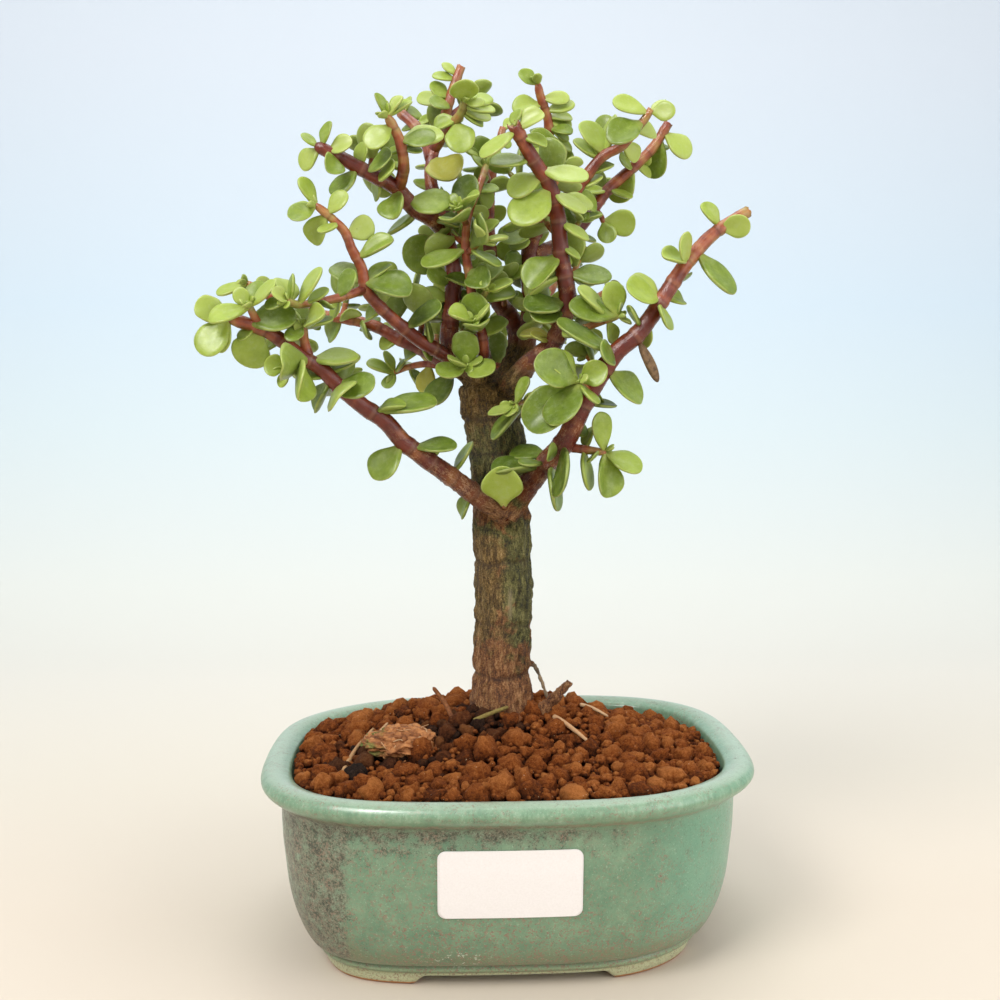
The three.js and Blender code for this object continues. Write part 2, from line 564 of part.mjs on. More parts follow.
      [29, 135, 5, 11, -50, 0.75], [93, 40, 20, 8, 30, 0.6], [62, 130, 30, 9, -20, 0.75],
      [68, 45, 25, 12.5, 35, 0.75], [44, 45, -20, 9.5, 75, 0.75], [51, 130, 30, 10.5, -25, 0.6],
      [23, 50, 15, 10.5, 30, 0.6],
    ],
  },
  upper_left: {
    node: 'branch_upright', parent: 'upright', radii: [2.9, 1.9],
    path: [[-21, 1, 232], [-25, -5, 235], [-30, -9, 237], [-36, -14, 243], [-43, -18, 246],
      [-51, -20, 250], [-60, -22, 254]],
    leaves: [
      [96, -15, 65, 8.5, 65, 0.6], [97, -170, 35, 6.5, -50, 0.75], [92, -15, 15, 9, 65, 0.75],
      [96, 170, -35, 9, -65, 0.75], [86, 110, -60, 10.5, -165, 0.75], [72, -160, -50, 12.5, -30, 0.6],
      [70, -75, 85, 8.5, -45, 0.75], [70, 150, 35, 7, -10, 0.6], [67, 10, 25, 11.5, 45, 0.75],
      [59, -30, 20, 10.5, 60, 0.75], [45, 100, -65, 13, -145, 0.75], [24, 145, -25, 14, -45, 0.6],
      [36, -25, -10, 15, 55, 0.75], [34, 25, -20, 8, 60, 0.75], [80, 110, 50, 8.5, 40, 0.6],
      [14, 50, -40, 10, 85, 0.75], [57, 110, -30, 8.5, -105, 0.75],
    ],
  },
  upper_left_riser: {
    node: 'branch_upright', parent: 'upper_left', radii: [2, 1.4],
    path: [[-35, -13, 242], [-33, -20, 248], [-34, -24, 255], [-36, -26, 259], [-38, -28, 262]],
    leaves: [
      [86, -165, -40, 10.5, -60, 0.75], [97, -165, 60, 7.5, -55, 0.6], [97, -10, 50, 7.5, 50, 0.6],
      [97, 10, 35, 9, 35, 0.6], [67, -15, 0, 11.5, 55, 0.6], [66, 20, 15, 14.5, 45, 0.6],
      [57, 15, 0, 6.5, 50, 0.75], [55, 145, 5, 7, -45, 0.6], [31, 125, 25, 9.5, -10, 0.6],
    ],
  },
  upright_fork: {
    node: 'branch_upright', parent: 'upright', radii: [1.9, 1.3],
    path: [[-24, 4, 258], [-19, -4, 263], [-15, -10, 267], [-14, -13, 270]],
    leaves: [
      [99, -95, 30, 9.5, -175, 0.95], [99, -25, -10, 7, 55, 0.6], [94, 20, 15, 10, 50, 0.6],
      [91, -5, -15, 10, 45, 0.6], [62, -60, -60, 12, 35, 0.8], [81, 30, -25, 8.5, 65, 0.75],
      [69, 135, -15, 8.5, -70, 0.75], [84, 35, -10, 10, 60, 0.6],
    ],
  },
  upper_back: {
    node: 'branch_upright', parent: 'upright', radii: [2, 1.7],
    path: [[-25, 4, 255], [-27, 9, 262], [-30, 12, 267], [-35, 15, 272]],
    leaves: [
      [96, 15, 20, 8.5, 65, 0.75], [67, 25, 25, 7.5, 35, 0.6], [67, 145, 10, 6.5, -55, 0.75],
      [100, 55, 60, 7.5, -10, 0.6],
    ],
  },
  right_main: {
    node: 'branch_right', parent: 'trunk', radii: [3, 2.7],
    path: [[3, 8, 183], [7, 12, 195], [8, 13, 210], [8, 12, 228], [11, 10, 236]],
    leaves: [
      [75, -160, -15, 9, -90, 0.75], [75, 30, -45, 9, 85, 0.75], [52, -155, -30, 8, -80, 0.75],
      [52, 35, 25, 9, 30, 0.6], [98, 145, 30, 8, -55, 0.75], [98, -165, -25, 14.5, -45, 0.75],
      [82, 155, 45, 9, -55, 0.75], [82, 40, 35, 10, 20, 0.75], [63, 35, -40, 9, 80, 0.75],
      [92, 145, -30, 9.5, -75, 0.75], [28, 30, 25, 8.5, 25, 0.75], [63, 115, 35, 8, -5, 0.6],
    ],
  },
  right_top: {
    node: 'branch_right', parent: 'right_main', radii: [1.9, 1.4],
    path: [[10, 12, 234], [14, 15, 250], [14, 12, 269], [11, 9, 277], [10, 8, 281]],
    leaves: [
      [98, -170, 30, 7.5, -80, 0.75], [89, 0, 0, 9.5, 60, 0.6], [80, -5, 15, 10, 55, 0.6],
      [76, 15, 5, 9, 40, 0.6], [85, -180, -10, 10.5, -50, 0.75], [73, 20, 0, 8.5, 60, 0.75],
      [69, -5, -20, 9, 55, 0.6], [55, -85, 45, 7.5, 170, 0.95], [61, 140, 30, 8.5, -35, 0.75],
      [61, 35, -15, 8.5, 70, 0.75], [35, 40, 40, 12, 15, 0.6], [42, 135, 25, 9.5, -35, 0.75],
      [51, -15, 0, 8.5, 75, 0.75], [71, 50, -25, 8.5, 80, 0.6],
    ],
  },
  right_upper: {
    node: 'branch_right', parent: 'right_main', radii: [2.4, 1.2],
    path: [[11, 10, 236], [16, 8, 241], [22, 6, 245], [31, 3, 256], [37, 1, 259], [44, -2, 267],
      [46, -3, 270]],
    leaves: [
      [97, -175, 20, 12.5, -55, 0.6], [98, -20, 0, 8.5, 90, 0.75], [100, 20, 35, 7, 20, 0.6],
      [91, -160, -30, 14.5, -55, 0.75], [60, 60, 70, 14.5, -30, 0.6], [59, 155, 60, 13.5, -30, 0.75],
      [55, 165, 40, 11, -35, 0.6], [84, 40, 10, 9.5, 55, 0.75], [72, 40, -20, 8.5, 90, 0.75],
      [30, 35, -25, 10.5, 70, 0.75], [31, -20, 25, 10, 45, 0.6], [44, 20, 20, 10, 30, 0.6],
      [55, 95, 40, 8, 35, 0.6],
    ],
  },
  right_lower: {
    node: 'branch_right', parent: 'right_main', radii: [2.5, 1.6],
    path: [[9, 13, 226], [17, 18, 229], [25, 20, 235], [35, 22, 248], [45, 22, 257], [51, 22, 263],
      [56, 21, 271]],
    leaves: [
      [92, -125, -75, 14.5, -5, 0.75], [95, -5, -40, 12.5, 50, 0.75], [72, -160, 15, 9, -60, 0.75],
      [72, -145, -60, 13.5, -30, 0.75], [74, 20, -35, 7, 65, 0.75], [84, 125, -40, 6.5, -130, 0.8],
      [85, 40, 15, 8.5, 40, 0.6], [55, -155, -10, 9.5, -40, 0.6], [29, 140, 35, 9, -30, 0.75],
      [56, 40, 20, 9.5, 40, 0.6],
    ],
  },
  right_lower_twig: {
    node: 'branch_right', parent: 'right_lower', radii: [1, 0.9],
    path: [[30, 19, 242], [32, 15, 239], [33, 13, 236]],
    leaves: [
      [95, -10, -5, 11, 100, 0.8], [99, 0, -75, 8, 100, 0.8],
    ],
  },
  centre_back: {
    node: 'branch_centre_back', parent: 'trunk', radii: [3.8, 1.2],
    path: [[0, 12, 182], [4, 16, 195], [3, 18, 203], [-3, 22, 212], [-5, 27, 229], [-5, 31, 246],
      [-3, 34, 261], [0, 36, 272]],
    leaves: [
      [99, 20, 40, 7, 35, 0.75], [98, -45, -65, 7, 10, 0.75], [87, 15, 5, 7.5, 80, 0.75],
      [72, 155, 15, 7.5, -70, 0.75], [70, -35, -25, 7.5, 85, 0.85], [53, 165, 20, 7.5, -65, 0.75],
      [53, -20, -15, 8.5, 90, 0.85], [53, 60, 60, 9, -10, 0.75], [35, -20, 20, 8.5, 85, 0.75],
      [36, 145, 30, 8.5, -40, 0.75], [24, 55, 55, 9, -5, 0.75],
    ],
  },
  behind_left: {
    node: 'branch_behind_left', parent: 'trunk', radii: [2.6, 1.2],
    path: [[-10, 10, 183], [-20, 12, 189], [-29, 14, 194], [-36, 15, 197], [-43, 16, 201],
      [-49, 16, 203], [-60, 16, 205], [-69, 15, 207], [-79, 13, 211], [-87, 12, 216]],
    leaves: [
      [56, -100, 40, 8, -160, 1], [45, 150, 45, 11, -45, 0.75], [60, 150, -45, 11, -85, 0.75],
      [35, -165, -10, 8, -55, 0.75], [99, -175, -20, 11, -35, 0.6], [94, 165, -5, 8, -50, 0.75],
      [89, 135, 55, 7.5, -15, 0.75], [84, 35, 45, 7.5, 20, 0.75], [76, 130, 35, 8, -5, 0.6],
      [52, 60, -45, 9.5, 100, 0.75], [76, 35, -45, 9.5, 70, 0.6], [26, 140, -20, 8.5, -65, 0.75],
    ],
  },
  short_left: {
    node: 'branch_short_left', parent: 'trunk', radii: [1.7, 1],
    path: [[-9, 10, 179], [-17, 18, 186], [-26, 24, 189], [-34, 29, 188], [-39, 32, 186]],
    leaves: [
      [100, -165, 15, 11, -35, 0.6], [100, 180, 65, 8.5, -40, 0.6], [99, -10, 50, 8, 35, 0.6],
      [100, -150, -55, 7, -30, 0.75], [84, 135, 45, 8.5, 5, 0.6], [61, 115, -65, 10.5, -130, 0.75],
      [31, -135, -55, 15, -5, 0.75], [82, 60, -50, 10.5, 90, 0.6], [61, 115, 40, 11.5, 20, 0.6],
    ],
  },
};

// Limbs behind the trunk, whose leaves follow the plant's own rule: opposite pairs, each pair
// turned a quarter from the last, larger towards the foot. pairs: first and last place (percent),
// distance between pairs, leaf length at the foot and at the tip, seed.
const PAIRED_LIMBS = {
  back_left: {
    node: 'branch_back_left', parent: 'trunk', radii: [2.7, 1.4],
    path: [[-5, 14, 183], [-9, 30, 199], [-16, 46, 215], [-21, 58, 230]],
    pairs: { from: 30, to: 100, step: 10.5, length: [14, 8], seed: 21 },
  },
  back_left_fork: {
    node: 'branch_back_left', parent: 'back_left', radii: [1.7, 1.1],
    path: [[-11, 35, 204], [-25, 43, 210], [-40, 48, 220]],
    pairs: { from: 25, to: 100, step: 10, length: [13, 8], seed: 22 },
  },
  back_right: {
    node: 'branch_back_right', parent: 'trunk', radii: [2.7, 1.4],
    path: [[1, 14, 181], [8, 32, 198], [16, 48, 212], [24, 60, 228]],
    pairs: { from: 30, to: 100, step: 10.5, length: [14, 8], seed: 23 },
  },
  back_right_fork: {
    node: 'branch_back_right', parent: 'back_right', radii: [1.7, 1.1],
    path: [[10, 37, 202], [24, 44, 208], [40, 47, 217]],
    pairs: { from: 25, to: 100, step: 10, length: [13, 8], seed: 24 },
  },
  back_middle: {
    node: 'branch_back_middle', parent: 'trunk', radii: [2.4, 1.2],
    path: [[-3, 16, 172], [-2, 38, 184], [0, 56, 194], [3, 72, 206]],
    pairs: { from: 32, to: 100, step: 10.5, length: [14, 8], seed: 25 },
  },
  back_middle_fork: {
    node: 'branch_back_middle', parent: 'back_middle', radii: [1.5, 1],
    path: [[-1, 46, 189], [-12, 58, 192], [-22, 68, 200]],
    pairs: { from: 35, to: 100, step: 10, length: [12, 8], seed: 26 },
  },
};

// ---------------------------------------------------------------- leaves
const STUBS = { // length of each limb, in mm, that belongs to the trunk's own solid
  low_left: 11, low_right: 11, tuft_left: 5, tuft_right: 9, front_shoot: 12, front_right: 14, mid_left: 16,
  upright: 23, right_main: 20, centre_back: 24, behind_left: 16, short_left: 13, back_left: 20,
  back_right: 24, back_middle: 20,
};
const ROOT_MARGIN = 2.5; // nearest that a leaf is rooted to the end of such a stub

// Half width of a blade at a share s of its length: a narrow foot, widest past the middle.
function bladeHalf(s) {
  const t = Math.min(1, Math.max(0, s)) ** 1.25;
  const shoulder = Math.min(1, s / 0.5);
  return Math.sqrt(Math.max(0, 4 * t * (1 - t))) * (0.55 + 0.45 * shoulder * shoulder * (3 - 2 * shoulder));
}

// A leaf: where it is rooted, the line it grows along, the way its upper face looks, its length
// and its greatest width.
function handLeaf(name, limb, curve, row) {
  const [place, bearing, rise, length, roll, ratio] = row;
  const percent = Math.max(place, (100 * firstLength(name)) / curve.getLength());
  const [b, r] = [rad(bearing), rad(rise)];
  const along = new THREE.Vector3(Math.cos(r) * Math.cos(b), Math.cos(r) * Math.sin(b), Math.sin(r));
  const upmost = UP.clone().addScaledVector(along, -along.z);
  if (upmost.length() < 0.15) upmost.set(0, -1, 0).addScaledVector(along, along.y);
  upmost.normalize();
  const side = new THREE.Vector3().crossVectors(along, upmost);
  const face = upmost.multiplyScalar(Math.cos(rad(roll))).addScaledVector(side, Math.sin(rad(roll)));
  return {
    limb: name, percent, root: rootPoint(curve, percent), along, face, length, width: length * ratio,
    stem: curve.getTangentAt(percent / 100), stemRadius: stemRadius(limb, percent),
  };
}

const stemRadius = (limb, percent) => limb.radii[0] + ((limb.radii[1] - limb.radii[0]) * percent) / 100;

// Leaves start beyond the stretch of a limb that belongs to the trunk's solid.
const firstLength = (name) => (name in STUBS ? STUBS[name] + ROOT_MARGIN : 0);

// A leaf's root sits on its stem's own axis, a little short of the stem's end.
function rootPoint(curve, percent) {
  const length = curve.getLength();
  return curve.getPointAt(Math.min(percent / 100, 1 - 0.9 / length));
}

function pairedLeaves(name, limb, curve) {
  const { pairs } = limb;
  const draw = seeded(pairs.seed);
  const length = curve.getLength();
  const leaves = [];
  const first = Math.max((pairs.from / 100) * length, firstLength(name));
  const last = (pairs.to / 100) * length;
  const count = Math.floor((last - first) / pairs.step);
  for (let k = 0; k <= count; k++) {
    const place = last - k * pairs.step;
    const stem = curve.getTangentAt(Math.min(1, place / length));
    const level = new THREE.Vector3().crossVectors(stem, UP).normalize();
    const other = new THREE.Vector3().crossVectors(level, stem);
    const turn = (Math.PI / 2) * k + 0.5 * (draw() - 0.5);
    for (const half of [0, Math.PI]) {
      const a = turn + half + 0.35 * (draw() - 0.5);
      const out = level.clone().multiplyScalar(Math.cos(a)).addScaledVector(other, Math.sin(a));
      const rise = 0.6 + 0.5 * (draw() - 0.5);
      const along = out.clone().multiplyScalar(Math.cos(rise)).addScaledVector(stem, Math.sin(rise));
      const face = stem.clone().addScaledVector(UP, 0.5);
      const size = pairs.length[1] + (pairs.length[0] - pairs.length[1]) * Math.min(1, k / count);
      const leafLength = size * (0.85 + 0.3 * draw());
      const percent = (100 * place) / length;
      const width = leafLength * (0.7 + 0.12 * draw());
      leaves.push({
        limb: name, percent, root: rootPoint(curve, percent), along, face, length: leafLength, width,
        stem, stemRadius: stemRadius(limb, percent),
      });
    }
  }
  return leaves;
}

const thickness = (length) => 0.11 * length + 0.75;

// The blade's own axes, after any bending: along, across and face at right angles.
function squareUp(leaf) {
  leaf.along.normalize();
  leaf.face.addScaledVector(leaf.along, -leaf.face.dot(leaf.along)).normalize();
  leaf.across = new THREE.Vector3().crossVectors(leaf.face, leaf.along);
  leaf.middle = leaf.root.clone().addScaledVector(leaf.along, 0.53 * leaf.length);
  leaf.points = bladePoints(leaf);
  return leaf;
}

// Test points spread over the blade.
function bladePoints(leaf) {
  const points = [];
  const leaving = Math.sqrt(1 - Math.min(0.75, leaf.along.dot(leaf.stem) ** 2));
  const bare = (leaf.stemRadius + 0.5 * thickness(leaf.length) + STALK) / leaving;
  const start = Math.min(0.75, Math.max(BLADE_START, bare / leaf.length));
  const rows = Math.max(3, Math.ceil(leaf.length / 3.2));
  const columns = Math.max(2, Math.ceil(leaf.width / 3));
  for (let i = 0; i <= rows; i++) {
    const s = start + ((0.97 - start) * i) / rows;
    for (let j = 0; j <= columns; j++) {
      const w = 0.5 * leaf.width * bladeHalf(s) * ((2 * j) / columns - 1);
      const point = leaf.root.clone().addScaledVector(leaf.along, s * leaf.length);
      points.push(point.addScaledVector(leaf.across, w));
    }
  }
  return points;
}

// Whether a point lies in another leaf's blade, taken as a flat ellipsoid grown by clear.
function inBlade(point, leaf, clear) {
  const out = point.clone().sub(leaf.middle);
  const l = out.dot(leaf.along) / (0.49 * leaf.length + clear);
  const w = out.dot(leaf.across) / (0.53 * leaf.width + clear);
  const h = out.dot(leaf.face) / (0.5 * thickness(leaf.length) + clear);
  return l * l + w * w + h * h < 1;
}

function leavesCross(a, b) {
  const reach = 0.5 * (a.length + b.length) + LEAF_CLEAR;
  if (a.middle.distanceTo(b.middle) > reach) return false;
  const twins = a.root.distanceTo(b.root) < 3;
  const clear = twins ? 0 : LEAF_CLEAR;
  const from = twins ? 0.4 : 0;
  const hits = (one, other) =>
    one.points.some((p, i) => i >= from * one.points.length && inBlade(p, other, clear));
  return hits(a, b) || hits(b, a);
}

// Balls strung along every stem and the trunk, which a blade keeps clear of.
function stemBalls(limbs) {
  const balls = [];
  for (const limb of limbs) {
    const curve = curveThrough(limb.path);
    const count = Math.ceil(curve.getLength() / 2);
    for (let i = 0; i <= count; i++) {
      balls.push({ at: curve.getPointAt(i / count), radius: stemRadius(limb, (100 * i) / count) });
    }
  }
  return balls;
}

function hitsStem(leaf, balls) {
  const half = 0.5 * thickness(leaf.length) + 0.35;
  return balls.some((ball) => {
    if (ball.at.distanceTo(leaf.middle) > 0.5 * leaf.length + ball.radius + half) return false;
    return leaf.points.some((p) => p.distanceTo(ball.at) < ball.radius + half);
  });
}

// Ways to bend a leaf clear of its neighbours, the gentlest first: [towards the back, upwards].
const BENDS = [
  [0, 0], [-0.2, 0], [0.2, 0], [-0.4, 0], [0.4, 0], [0, 0.25], [0, -0.25], [-0.65, 0], [0.65, 0],
  [-0.4, 0.3], [0.4, 0.3], [-0.4, -0.3], [0.4, -0.3], [-1, 0], [1, 0], [0, 0.5], [0, -0.5], [-0.8, 0.5],
  [0.8, 0.5], [-0.8, -0.5], [0.8, -0.5], [-1.6, 0], [1.6, 0], [-1.2, 0.8], [1.2, 0.8], [-1.2, -0.8],
  [1.2, -0.8],
];
const SHRINKS = [1, 0.85, 0.7, 0.55];

function placeLeaf(leaf, placed, balls) {
  for (const shrink of SHRINKS) {
    for (const [back, up] of BENDS) {
      const bent = squareUp({
        ...leaf,
        along: leaf.along.clone().add(new THREE.Vector3(0, back, up)),
        face: leaf.face.clone(),
        length: leaf.length * shrink,
        width: leaf.width * shrink,
      });
      if (!hitsStem(bent, balls) && !placed.some((other) => leavesCross(bent, other))) return bent;
    }
  }
  return null;
}

function growLeaves() {
  const limbs = Object.entries({ ...LIMBS, ...PAIRED_LIMBS });
  const trunk = { path: TRUNK_PATH, radii: [TRUNK_RADIUS + 0.6, TRUNK_RADIUS + 0.6] };
  const balls = stemBalls([trunk, ...limbs.map(([, limb]) => limb)]);
  const placed = [];
  for (const [name, limb] of limbs) {
    const curve = curveThrough(limb.path);
    const wanted = limb.pairs
      ? pairedLeaves(name, limb, curve)
      : limb.leaves.map((row) => handLeaf(name, limb, curve, row));
    for (const leaf of wanted) {
      const clear = placeLeaf(leaf, placed, balls);
      if (clear) placed.push(clear);
    }
  }
  return placed;
}

// A thick blade: a ball drawn out to the leaf's outline, its rim a little above its middle.
function leafSolid(leaf) {
  const corners = 2 * LEAF_CORNERS.length - 1;
  const geometry = new THREE.SphereGeometry(1, corners, 2);
  const position = geometry.getAttribute('position');
  const half = 0.5 * thickness(leaf.length);
  const foot = LEAF_FOOT * Math.max(0, leaf.stemRadius - THIN_STEM);
  const point = new THREE.Vector3();
  for (let i = 0; i < position.count; i++) {
    const pole = position.getY(i);
    const rim = Math.hypot(position.getX(i), position.getZ(i));
    const corner = Math.round((Math.acos(Math.min(1, -position.getX(i))) * corners) / (2 * Math.PI));
    const s = rim > 0.5 ? LEAF_CORNERS[corner] : 0.6;
    const side = rim > 0.5 ? Math.sign(Math.round(position.getZ(i) * 1e4)) * LEAF_HALVES[corner] : 0;
    const lift = rim > 0.5 ? 0.04 * leaf.width * side * side : pole * half;
    point.copy(leaf.root);
    point.addScaledVector(leaf.along, foot + s * (leaf.length - foot));
    point.addScaledVector(leaf.across, 0.5 * leaf.width * side);
    point.addScaledVector(leaf.face, lift);
    position.setXYZ(i, point.x, point.y, point.z);
  }
  return toSolid(geometry);
}

// ---------------------------------------------------------------- stems
// The stem between two lengths from its foot, tapering as the whole limb does.
function stemSolid(limb, from, to, extra) {
  const curve = curveThrough(limb.path);
  const length = curve.getLength();
  const end = to ?? length;
  const steps = Math.max(2, Math.round((end - from) / STEM_STEP));
  const [foot, tip] = limb.radii;
  const sides = foot < TWIG_RADIUS ? TWIG_SIDES : STEM_SIDES;
  return sweep(stretch(curve, from, end, steps), steps, sides, (share) => {
    const along = (from + (end - from) * share) / length;
    return foot + (tip - foot) * along + extra;
  });
}

// ---------------------------------------------------------------- assembly
const LOOKS = {
  glaze: { color: 0x6fae97, roughness: 0.3 },
  screen: { color: 0x2a2c2a, roughness: 0.6 },
  label: { color: 0xf2f2ee, roughness: 0.5 },
  akadama: { color: 0x8a4a26, roughness: 1 },
  bark: { color: 0x6b5a3c, roughness: 0.9 },
  leaf: { color: 0x86ab3f, roughness: 0.45 },
  litter: { color: 0xb98a5a, roughness: 0.9 },
};

const bonsai = new THREE.Group();
bonsai.name = 'dwarf_jade_bonsai';

function addPiece(name, solid, look) {
  const material = new THREE.MeshStandardMaterial({ metalness: 0, ...LOOKS[look] });
  const mesh = new THREE.Mesh(toGeometry(solid), material);
  mesh.name = name;
  bonsai.add(mesh);
}

addPiece('pot', makePot(), 'glaze');
addPiece('drain_screen_left', makeScreen(-DRAIN_X), 'screen');
addPiece('drain_screen_right', makeScreen(DRAIN_X), 'screen');
addPiece('label', makeLabel(), 'label');

const litter = Object.entries(LITTER);
const lumps = Object.entries(LUMPS);
const grownTrunk = trunkAndRoots(0);
const clearOfTrunk = trunkAndRoots(GAP);
const clearOfStrands = litter.map(([, piece]) => litterSolid(piece, GAP));
const clearOfLumps = lumps.map(([, piece]) => lumpSolid(piece, GAP));
addPiece('soil', makeSoil([clearOfTrunk, ...clearOfStrands, ...clearOfLumps]), 'akadama');
for (const [name, piece] of litter) addPiece(name, litterSolid(piece, 0), 'litter');
for (const [name, piece] of lumps) addPiece(name, cut(lumpSolid(piece, 0), clearOfStrands), 'litter');

const ALL_LIMBS = { ...LIMBS, ...PAIRED_LIMBS };
const leaves = growLeaves();
const stubs = Object.entries(STUBS).map(([name, length]) => stemSolid(ALL_LIMBS[name], 0, length, 0));

// The stems and leaves of one node. A limb's foot is cut square just clear of its stub on the trunk.
function branchParts(node) {
  const parts = [];
  for (const [name, limb] of Object.entries(ALL_LIMBS)) {
    if (limb.node !== node) continue;
    const stub = STUBS[name];
    const stem = stemSolid(limb, stub ? stub - 2 : 0, null, 0);
    parts.push(stub ? largest(cut(stem, [stemSolid(limb, 0, stub + GAP, GAP)])) : stem);
    for (const leaf of leaves) if (leaf.limb === name) parts.push(leafSolid(leaf));
  }
  return parts;
}

addPiece('trunk', largest(join([grownTrunk, ...stubs, ...branchParts('trunk')])), 'bark');
const branchNodes = new Set(Object.values(ALL_LIMBS).map((limb) => limb.node));
branchNodes.delete('trunk');
for (const node of branchNodes) addPiece(node, join(branchParts(node)), 'leaf');

const extent = new THREE.Box3().setFromObject(bonsai);
const middle = extent.getCenter(new THREE.Vector3());
bonsai.position.set(-middle.x, -middle.y, 0);

export default bonsai;
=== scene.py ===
"""The looks of a dwarf jade bonsai (Portulacaria afra) in a glazed stoneware pot.

Everything is built in mesh code in millimetres, measured from the middle of the pot's underside with
+Z up and the pot's front facing -Y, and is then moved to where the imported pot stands.
"""
import math
from dataclasses import dataclass, replace

import bmesh
import bpy
import numpy as np
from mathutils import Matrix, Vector, noise


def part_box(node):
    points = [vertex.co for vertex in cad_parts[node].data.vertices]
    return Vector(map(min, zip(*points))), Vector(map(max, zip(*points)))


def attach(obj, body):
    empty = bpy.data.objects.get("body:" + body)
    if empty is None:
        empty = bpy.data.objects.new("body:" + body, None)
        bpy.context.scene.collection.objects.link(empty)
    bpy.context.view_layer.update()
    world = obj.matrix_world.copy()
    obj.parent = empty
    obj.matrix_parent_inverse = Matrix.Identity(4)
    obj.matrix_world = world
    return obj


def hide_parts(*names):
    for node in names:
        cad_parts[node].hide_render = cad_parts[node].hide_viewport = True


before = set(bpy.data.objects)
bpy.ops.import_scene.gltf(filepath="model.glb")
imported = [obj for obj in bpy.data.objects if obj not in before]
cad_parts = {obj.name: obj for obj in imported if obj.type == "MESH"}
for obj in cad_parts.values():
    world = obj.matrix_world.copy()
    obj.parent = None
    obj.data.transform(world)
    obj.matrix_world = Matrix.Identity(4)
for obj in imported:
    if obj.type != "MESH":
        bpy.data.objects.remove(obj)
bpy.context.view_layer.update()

# ---------------------------------------------------------------- driving dimensions, in millimetres
MM = 0.001
BODY = "root"

POT_HALF_WIDTH = 80.0
POT_HALF_DEPTH = 65.7
POT_SIDES = 264
CORNER_POWER = 10.0  # how squarely the sides meet the cut corners
CORNER_CUT = 0.807  # share of the half width plus half depth left by the cut corners
CORNER_SKEW = 0.032  # the front left and back right corners are cut less by this, the others more
FOOT_TOP = 3.0  # height of the pot's underside above its feet
FOOT_EDGE = 3.5  # where the wall's profile ends and the feet begin
FOOT_INSET = 19.0
FOOT_WIDTH = 14.6
FEET_GAP = (27.0, 20.0)  # half the free length between the feet along X and along Y
FOOT_SLOPE = 4.5  # length over which a foot's end rises to the underside
FLOOR_TOP = 10.0
DRAIN_RADIUS = 6.0
DRAIN_X = 32.0

OUTER_WALL = (  # height and inset down the outside, from the lip's top to the top of the feet
    (62, 4.2), (61.85, 2.9), (61.2, 1.3), (60.2, 0.45), (59, 0), (57.7, 0.4), (56.5, 1.4), (55.2, 3.0),
    (54, 4.8), (52.8, 5.8), (51.4, 6.2), (46, 6.3), (40, 6.6), (35, 7.1), (30, 7.6), (26, 8.1), (22, 8.9),
    (18, 10.0), (14, 11.5), (11, 12.9), (9, 14.2), (7.9, 15.6), (7.1, 17.2), (6.5, 17.0), (5.7, 16.9),
    (5.1, 17.3), (4.6, 18.4), (4.0, 18.9), (3.5, 19.0),
)
LIP_UNDERSIDE = 50  # the wall proper lies below this height
INNER_WALL = (  # from the floor up to the lip's top
    (10, 27), (10.6, 25.4), (14, 20.8), (22, 17), (30, 14.6), (40, 12.6), (50, 10.8), (58, 9.8), (60.2, 9.2),
    (61.1, 7.6), (61.6, 6.3), (61.9, 5.2),
)
WALL_PARTS = 3  # rings for each row of the two walls

LABEL_SIZE = (42.5, 20.8)
LABEL_MIDDLE = (-2.1, 36.6)
LABEL_CORNER = 2.4
LABEL_THICKNESS = 0.35
LABEL_GAP = 0.12  # paste between the wall and the label

SOIL_EDGE_HEIGHT = 57.2
SOIL_INSET = 10.4
MOUND_HEIGHT = 16.0
MOUND_MIDDLE = (-3.0, 12.0)
MOUND_REACH = (50.0, 42.0)
MOUND_POWER = 1.3
MOUND_TILT = -0.045
BED_DEPTH = 2.2  # the bed under the grains lies this far below the soil's surface

CLUMP_PLACE = (-35.0, -14.5)
CLUMP_ROOM = (11.0, 8.5)  # half the room kept free of grains round the clump of fibres
CLUMP_HALF = (12.24, 11.2, 4.83)
CHIP_PLACE = (1, -9)
CHIP_HALF = (3.6, 2.2, 2)

# The camera: distance and height from the pot's axis, turn, tilt, sideways shift and lens.
CAMERA_DISTANCE = 399.0
CAMERA_HEIGHT = 178.6
CAMERA_TURN = math.radians(-2.5)
CAMERA_TILT = math.radians(5.0)
CAMERA_SIDE = 2.6
CAMERA_LENS = 43.49

# The sweep behind the pot: the reach of its colours along depth plus height, its bend, wall and size.
SWEEP_REACH = 1500.0
SWEEP_BEND = 500.0
SWEEP_BACK = 900.0
SWEEP_HALF = 3000.0
SWEEP_COLOURS = (
    (0.0, (0.680, 0.600, 0.500)), (0.10, (0.700, 0.650, 0.556)), (0.23, (0.710, 0.684, 0.614)),
    (0.39, (0.684, 0.703, 0.658)), (0.60, (0.609, 0.697, 0.724)), (0.74, (0.566, 0.671, 0.751)),
    (0.95, (0.578, 0.639, 0.710)),
)
SWEEP_GLOW = (  # and the light it gives off itself
    (0.0, (0.0, 0.0, 0.0)), (0.10, (0.0, 0.0, 0.0)), (0.23, (0.044, 0.043, 0.038)),
    (0.39, (0.080, 0.082, 0.077)), (0.60, (0.088, 0.100, 0.104)), (0.74, (0.103, 0.122, 0.136)),
    (0.95, (0.155, 0.171, 0.190)),
)

